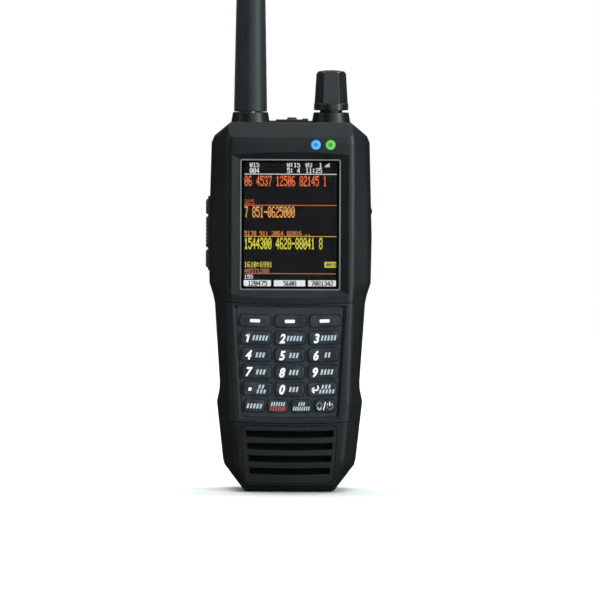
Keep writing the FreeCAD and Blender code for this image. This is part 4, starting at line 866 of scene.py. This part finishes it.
@dataclass
class Keypad(SubAssembly):
    """The rubber keys, the mat between them and their printed legends."""

    smile_radius: float = 430 * MM
    sink: float = 0.005 * MM
    lift: float = 0.03 * MM
    slant: float = 0.24
    digit_size: float = 5.1 * MM
    digit_weight: float = 0.035
    digit_narrow: float = 0.86
    digit_place: Point = (-3.0 * MM, -0.1 * MM)
    digit_steps: int = 6
    block_share: float = 0.56
    block_corner: float = 0.1 * MM
    mark_pitch: float = 1.38
    mark_limit: float = 6.6
    long_row: int = 5
    line: float = 0.4
    ink_colours: dict[str, Colour] = field(default_factory=lambda: {
        "white": (0.85, 0.87, 0.88), "pale": (0.42, 0.48, 0.52), "red": (0.48, 0.03, 0.03),
    })
    inks: dict[str, bpy.types.Material] = field(default_factory=dict, init=False)
    body_of: dict[str, str] = field(default_factory=dict, init=False)
    tallies: dict[str, tuple[Tally, ...]] = field(default_factory=lambda: {
        "key_function": (Tally("marks", 5, (0, -0.1), 6.6, 2.0),),
        "key_recall": (Tally("marks", 6, (0.1, 0.95), 6.0, 1.6),
                       Tally("marks_low", 6, (-0.1, -0.95), 6.6, 1.7, "red")),
        "key_store": (Tally("marks", 3, (0.2, 0.95), 2.9, 1.5), Tally("marks_low", 8, (0, -0.9), 7.0, 1.6)),
    })
    marks: dict[str, tuple[int, ...]] = field(default_factory=lambda: {
        "key_one": (5,), "key_two": (5,), "key_three": (5,), "key_four": (3,), "key_five": (3,),
        "key_six": (2,), "key_seven": (3,), "key_eight": (3,), "key_nine": (4,), "key_zero": (3,),
        "key_point": (2, 3), "key_enter": (3, 5),
    })
    digits: dict[str, str] = field(default_factory=lambda: {
        "key_two": "2", "key_three": "3", "key_four": "4", "key_five": "5", "key_six": "6",
        "key_seven": "7", "key_eight": "8", "key_nine": "9", "key_zero": "0",
    })

    def build(self) -> None:
        """Builds the sub-assembly."""
        # The keys' pale dust colour, far lighter than their rubber, also paints the highlight along their
        # edges.
        rubber = MouldedRubber("key_rubber_satin", colour=(0.0075, 0.0112, 0.0158), dust_and_highlight=(0.06, 0.076, 0.092),
                               roughness=0.5, edge=0.45 * MM)
        mat = MouldedRubber("mat_rubber_matt", colour=(0.015, 0.02, 0.026), dust_and_highlight=(0.032, 0.04, 0.05),
                            roughness=0.6)
        bodies = self.frame["record"]["behaviour"]["bodies"]
        self.body_of = {members[0]: body for body, members in bodies.items() if len(members) == 1}
        keys = [name for name in self.frame["nodes"] if name.startswith(("key_", "soft_key_"))]
        self.finish(rubber.material(), sorted(keys))
        self.finish(mat.material(), ("keypad_mat",))
        for ink, colour in self.ink_colours.items():
            self.inks[ink] = PrintedInk(f"legend_{ink}", colour).material()
        for key in sorted(keys):
            self.add_legend(key)

    def seat(self, key: str) -> Matrix:
        """The plane of a key's face: its middle, tilted as its row curves.

        Args:
            key: The key's name.

        Returns:
            The plane's place.
        """
        low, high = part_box(key)
        middle = (low + high) / 2
        tilt = math.asin(middle.x / self.smile_radius)
        return Matrix.Translation((middle.x, low.y + self.sink, middle.z)) @ Matrix.Rotation(-tilt, 4, "Y")

    def print_on(self, key: str, name: str, outlines: Iterable[Outline], ink: str = "white") -> None:
        """Prints outlines on a key's face.

        Args:
            key: The key's name.
            name: What the print is.
            outlines: Its shapes about the key's middle.
            ink: The name of its ink.
        """
        legend = FlatWork.piece(f"{key}_{name}", outlines, self.seat(key), self.lift)
        dress(legend, self.inks[ink], self.body_of[key])
        LOG.info("printed %s on %s", name, key)

    @staticmethod
    def strokes(width: float, *lines: Sequence[Point]) -> list[Outline]:
        """Drawn lines given in millimetres, as outlines in metres."""
        scaled = [[(x * MM, z * MM) for x, z in line] for line in lines]
        return [run for line in scaled for run in FlatWork.ribbon(line, width * MM)]

    def add_tally(self, key: str, tally: Tally) -> None:
        """Prints a row of blocks.

        Args:
            key: The key's name.
            tally: The row.
        """
        pitch = tally.width * MM / tally.count
        blocks = []
        for i in range(tally.count):
            x = tally.centre[0] * MM + (i - (tally.count - 1) / 2) * pitch
            blocks.append(FlatWork.rounded(pitch * self.block_share, tally.height * MM, self.block_corner,
                                           (x, tally.centre[1] * MM), self.slant))
        self.print_on(key, tally.name, blocks, tally.ink)

    def add_digit(self, key: str, digit: str) -> None:
        """Prints a bold slanted digit at the left of a key.

        Args:
            key: The key's name.
            digit: The digit.
        """
        script = bpy.data.curves.new(f"{key}_digit_curve", "FONT")
        script.body = digit
        script.size = self.digit_size
        script.shear = self.slant
        script.offset = self.digit_weight * self.digit_size
        script.extrude = self.lift / 2
        script.resolution_u = self.digit_steps
        script.align_x = "CENTER"
        script.align_y = "CENTER"
        drawn = add_object(f"{key}_digit_curve", script)
        bpy.context.view_layer.update()
        mesh = bpy.data.meshes.new_from_object(drawn.evaluated_get(bpy.context.evaluated_depsgraph_get()))
        bpy.data.objects.remove(drawn)
        reach = [vertex.co for vertex in mesh.vertices]
        middle = Vector([(min(p[i] for p in reach) + max(p[i] for p in reach)) / 2 for i in range(3)])
        x, z = self.digit_place
        place = Matrix.Translation((x, -self.lift / 2, z)) @ Matrix.Rotation(math.pi / 2, 4, "X")
        narrow = Matrix.Scale(self.digit_narrow, 4, (1, 0, 0))
        mesh.transform(self.seat(key) @ place @ narrow @ Matrix.Translation(-middle))
        mesh.name = f"{key}_digit"
        dress(add_object(f"{key}_digit", mesh), self.inks["white"], self.body_of[key])
        LOG.info("printed %s on %s", digit, key)

    def add_legend(self, key: str) -> None:
        """Prints all that a key carries.

        Args:
            key: The key's name.
        """
        if key.startswith("soft_key"):
            self.print_on(key, "bar", [FlatWork.rounded(4.1 * MM, 1.3 * MM, 0.35 * MM)])
        elif key == "key_one":
            digit = self.strokes(0.8, ((-2.75, 1.3), (-3.35, -1.55)))
            self.print_on(key, "digit", digit + self.strokes(0.62, ((-2.8, 1.35), (-3.75, 0.75))))
        elif key in self.digits:
            self.add_digit(key, self.digits[key])
        elif key == "key_point":
            point = FlatWork.rounded(1.3 * MM, 1.3 * MM, 0.2 * MM, (-2.9 * MM, -0.2 * MM), 0.15)
            self.print_on(key, "point", [point])
        elif key == "key_enter":
            arrow = self.strokes(0.6, ((-1.6, 1.2), (-1.6, -0.4), (-4.3, -0.4)))
            self.print_on(key, "arrow", arrow + self.strokes(0.55, ((-3.3, 0.6), (-4.4, -0.4), (-3.3, -1.4))))
        elif key == "key_light":
            self.add_light_and_power(key)
        if key in self.marks:
            self.add_marks(key)
        for tally in self.tallies.get(key, ()):
            self.add_tally(key, tally)

    def add_marks(self, key: str) -> None:
        """Prints the blocks at a number key's right, in one or two rows.

        Args:
            key: The key's name.
        """
        rows = self.marks[key]
        height, levels = (2.1, (0.0,)) if len(rows) == 1 else (1.6, (0.95, -1.0))
        for i, (count, level) in enumerate(zip(rows, levels)):
            width = min(self.mark_pitch * count, self.mark_limit)
            x = 1.7 if count < self.long_row else 1.9
            self.add_tally(key, Tally(f"marks_{i}", count, (x, level), width, height))

    def add_light_and_power(self, key: str) -> None:
        """Prints a lamp, a stroke and a power sign.

        Args:
            key: The key's name.
        """
        bulb = FlatWork.arc((-2.1, 0.4), 1.0, -50, 230)
        base = (bulb[0], (-1.65, -1.35), (-2.55, -1.35), bulb[-1])
        ring = FlatWork.arc((2.1, -0.15), 1.25, 130, 410)
        stroke, bar = ((-0.5, -1.5), (0.35, 1.5)), ((2.1, 0.1), (2.1, 1.5))
        self.print_on(key, "lamp_and_power", self.strokes(self.line, bulb, base, stroke, ring, bar))


@dataclass
class TopControls(SubAssembly):
    """The antenna, the rotary control, the earphone cover and the two lamps."""

    lamp_colours: dict[str, tuple[Colour, Colour, Colour]] = field(default_factory=lambda: {
        "led_lens_charge": ((0.006, 0.11, 0.46), (0.07, 0.29, 0.62), (0.008, 0.035, 0.11)),
        "led_lens_alert": ((0.014, 0.19, 0.02), (0.1, 0.37, 0.07), (0.008, 0.07, 0.018)),
    })

    def build(self) -> None:
        """Builds the sub-assembly."""
        rubber = MouldedRubber("antenna_rubber_satin", colour=(0.0095, 0.012, 0.013),
                               dust_and_highlight=(0.018, 0.0215, 0.0225), roughness=0.48, edge=0.4 * MM)
        self.finish(rubber.material(), ("antenna_sleeve",))
        grip = MouldedRubber("knob_rubber_matt", colour=(0.005, 0.0064, 0.0068), dust_and_highlight=(0.016, 0.0185, 0.0195),
                             roughness=0.3, edge=0.5 * MM)
        self.finish(grip.material(), ("knob_cap",))
        self.finish(MouldedRubber("cover_rubber_matt").material(), ("earphone_cover",))
        gold = WorkedMetal("contact_gold", GOLD, 0.25, Surface.TURNED).material()
        self.finish(gold, ("antenna_socket", "antenna_plug"))
        steel = WorkedMetal("shaft_steel", surface=Surface.TURNED).material()
        self.finish(steel, ("antenna_coil", "encoder_shaft", "encoder_rotor"))
        dark = MouldedPlastic("socket_plastic_black", colour=(0.01, 0.01, 0.011), roughness=0.4)
        self.finish(dark.material(), ("encoder_body", "earphone_jack"))
        for lamp, (core, ring, rim) in self.lamp_colours.items():
            low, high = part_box(lamp)
            lens = LampLens(f"{lamp}_glow", (low + high) / 2, (high.x - low.x) / 2, core, ring, rim)
            self.finish(lens.material(), (lamp,))


@dataclass
class SideFittings(SubAssembly):
    """The keys on the left wall and the data port with its flap on the right."""

    def build(self) -> None:
        """Builds the sub-assembly."""
        rubber = MouldedRubber("side_key_rubber", colour=(0.024, 0.027, 0.03), dust_and_highlight=(0.06, 0.063, 0.067),
                               roughness=0.52)
        names = ("side_key_upper", "side_key_middle", "side_key_lower", "side_key_mat")
        self.finish(rubber.material(), names)
        self.finish(MouldedRubber("flap_rubber_matt").material(), ("port_cover",))
        self.finish(WorkedMetal("port_steel", surface=Surface.DRAWN).material(), ("usb_socket",))


@dataclass
class BatteryPack(SubAssembly):
    """The slide-off battery pack, its lid, cells, latch and contacts."""

    def build(self) -> None:
        """Builds the sub-assembly."""
        shell = MouldedPlastic("battery_plastic_grained", grain=0.36 * MM)
        self.finish(shell.material(), ("battery_case",))
        inner = MouldedPlastic("battery_lid_plain", colour=(0.022, 0.022, 0.023), grain=0.6 * MM,
                               relief=0.006 * MM)
        self.finish(inner.material(), ("battery_lid", "battery_latch"))
        wrap = MouldedPlastic("cell_wrap_blue", colour=(0.02, 0.05, 0.2), worn=(0.04, 0.08, 0.26),
                              roughness=0.25, relief=0.004 * MM)
        self.finish(wrap.material(), ("battery_cells",))
        gold = WorkedMetal("pin_gold", GOLD, 0.22).material()
        self.finish(gold, ("battery_contacts",))


@dataclass
class BeltClip(SubAssembly):
    """The sprung belt clip on the upper back."""

    def build(self) -> None:
        """Builds the sub-assembly."""
        tough = MouldedPlastic("clip_plastic_tough", colour=(0.02, 0.021, 0.021), roughness=0.5,
                               grain=0.4 * MM)
        self.finish(tough.material(), ("belt_clip", "clip_bracket"))
        wire = WorkedMetal("spring_wire", (0.5, 0.5, 0.52), 0.25, Surface.DRAWN).material()
        self.finish(wire, ("clip_spring", "clip_pin"))
        self.finish(WorkedMetal("screw_zinc", ZINC, 0.34).material(), ("clip_screws",))


@dataclass
class InnerWorks(SubAssembly):
    """What only shows when the pack is off or through the slots: boards, speaker and screws."""

    def build(self) -> None:
        """Builds the sub-assembly."""
        self.finish(SolderMask("board_lacquer").material(), ("main_board", "tuner_board"))
        basket = MouldedPlastic("speaker_basket", colour=(0.01, 0.01, 0.01), roughness=0.5)
        self.finish(basket.material(), ("speaker",))
        self.finish(WorkedMetal("case_screw_zinc", ZINC, 0.34).material(), ("case_screws",))


# -------------------------------- studio


@dataclass(frozen=True)
class Softbox:
    """A rectangular soft light aimed at a target or, if it has one, set by its tilt and lean in degrees."""

    name: str
    place: tuple[float, float, float]
    width: float
    height: float
    power: float
    target: tuple[float, float, float] = (0.0, 0.0, 0.09)
    tint: Colour = (0.86, 0.97, 1.0)
    tilt: float | None = None
    lean: float = 0.0

    def build(self) -> None:
        """Hangs the light."""
        lamp = bpy.data.lights.new(self.name, "AREA")
        lamp.shape = "RECTANGLE"
        lamp.size = self.width
        lamp.size_y = self.height
        lamp.energy = self.power
        lamp.color = self.tint
        hung = add_object(self.name, lamp)
        hung.location = self.place
        if self.tilt is None:
            towards = Vector(self.target) - Vector(self.place)
            hung.rotation_euler = towards.to_track_quat("-Z", "Y").to_euler()
        else:
            hung.rotation_euler = (math.radians(self.tilt), 0, math.pi)
            hung.rotation_euler.rotate_axis("Z", math.radians(self.lean))
        hung.visible_camera = False


@dataclass
class Studio:
    """The paper floor, the soft lights and the camera."""

    softboxes: tuple[Softbox, ...] = (
        Softbox("softbox_left", (-1.1, -0.5, 0.5), 0.3, 0.8, 1.4),
        Softbox("softbox_right", (1.1, -0.75, 0.45), 0.35, 0.8, 15.0),
        Softbox("softbox_front", (0.75, -1.9, 0.55), 1.0, 1.0, 9.0),
        Softbox("softbox_knob", (0.022, -1.0, 0.246), 0.2, 0.12, 0.4, (0.0165, -0.01, 0.166)),
        Softbox("softbox_top", (0.05, -0.75, 1.3), 0.7, 0.5, 4.0),
        Softbox("softbox_paper", (0.0, 0.45, 1.7), 3.0, 0.6, 60.0, (0.0, 0.8, 0.0), (1.0, 1.0, 1.0)),
        Softbox("strip_light", (0.0015, -1.0, 0.058), 0.024, 0.085, 0.006, tint=(1.0, 1.0, 1.0), tilt=87.0,
                lean=-10.0),
    )
    sensor_width: float = 36.0
    camera_distance: float = 3.0
    camera_rise: float = 3.0
    camera_roll: float = 0.25
    frame_width: float = 0.246
    aim: tuple[float, float, float] = (0.0041, -0.0043, 0.0779)
    paper_reach: tuple[float, float, float] = (3.5, -0.75, 1.1)
    surround: float = 0.05

    def build(self) -> None:
        """Builds the floor, the light and the camera."""
        self.add_floor()
        self.add_surround()
        for softbox in self.softboxes:
            softbox.build()
        self.add_camera()
        LOG.info("set up the studio")

    def add_floor(self) -> None:
        """Lays the paper flat, so that the radio shows from every side."""
        shape = bmesh.new()
        reach, front, back = self.paper_reach
        corners = ((-reach, front), (reach, front), (reach, back), (-reach, back))
        shape.faces.new([shape.verts.new((x, y, 0.0)) for x, y in corners])
        mesh = bpy.data.meshes.new("paper_floor")
        shape.to_mesh(mesh)
        shape.free()
        paper = add_object("paper_floor", mesh)
        dress(paper, StudioPaper("studio_paper").material())
        paper.visible_glossy = False

    def add_surround(self) -> None:
        """Sets the even light that fills the room: white to look at, softer as light."""
        world = bpy.data.worlds.new("studio_surround")
        bpy.context.scene.world = world
        world.use_nodes = True
        nodes = world.node_tree.nodes
        path = nodes.new("ShaderNodeLightPath")
        level = nodes.new("ShaderNodeMapRange")
        level.inputs["To Min"].default_value = self.surround
        level.inputs["To Max"].default_value = 1.0
        world.node_tree.links.new(path.outputs["Is Camera Ray"], level.inputs["Value"])
        world.node_tree.links.new(level.outputs["Result"], nodes["Background"].inputs["Strength"])
        nodes["Background"].inputs["Color"].default_value = (1.0, 1.0, 1.0, 1.0)

    def add_camera(self) -> None:
        """Places the camera in front, a little above the middle of the radio."""
        lens = bpy.data.cameras.new("studio_camera")
        lens.sensor_width = self.sensor_width
        lens.lens = self.sensor_width * self.camera_distance / self.frame_width
        camera = add_object("studio_camera", lens)
        rise = math.radians(self.camera_rise)
        aim = Vector(self.aim)
        camera.location = aim + self.camera_distance * Vector((0, -math.cos(rise), math.sin(rise)))
        turn = (aim - camera.location).to_track_quat("-Z", "Y").to_matrix()
        camera.rotation_euler = (turn @ Matrix.Rotation(math.radians(self.camera_roll), 3, "Z")).to_euler()
        bpy.context.scene.camera = camera


def main() -> None:
    """Dresses the radio and sets up the studio."""
    logging.basicConfig(level=logging.INFO, format="%(name)s: %(message)s")
    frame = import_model()
    bpy.context.scene.view_settings.view_transform = "Standard"
    for assembly in (CaseShells, DisplayUnit, Keypad, TopControls, SideFittings, BatteryPack, BeltClip,
                     InnerWorks):
        assembly(frame).build()
        LOG.info("built %s", assembly.__name__)
    Studio().build()


if __name__ == "__main__":
    main()
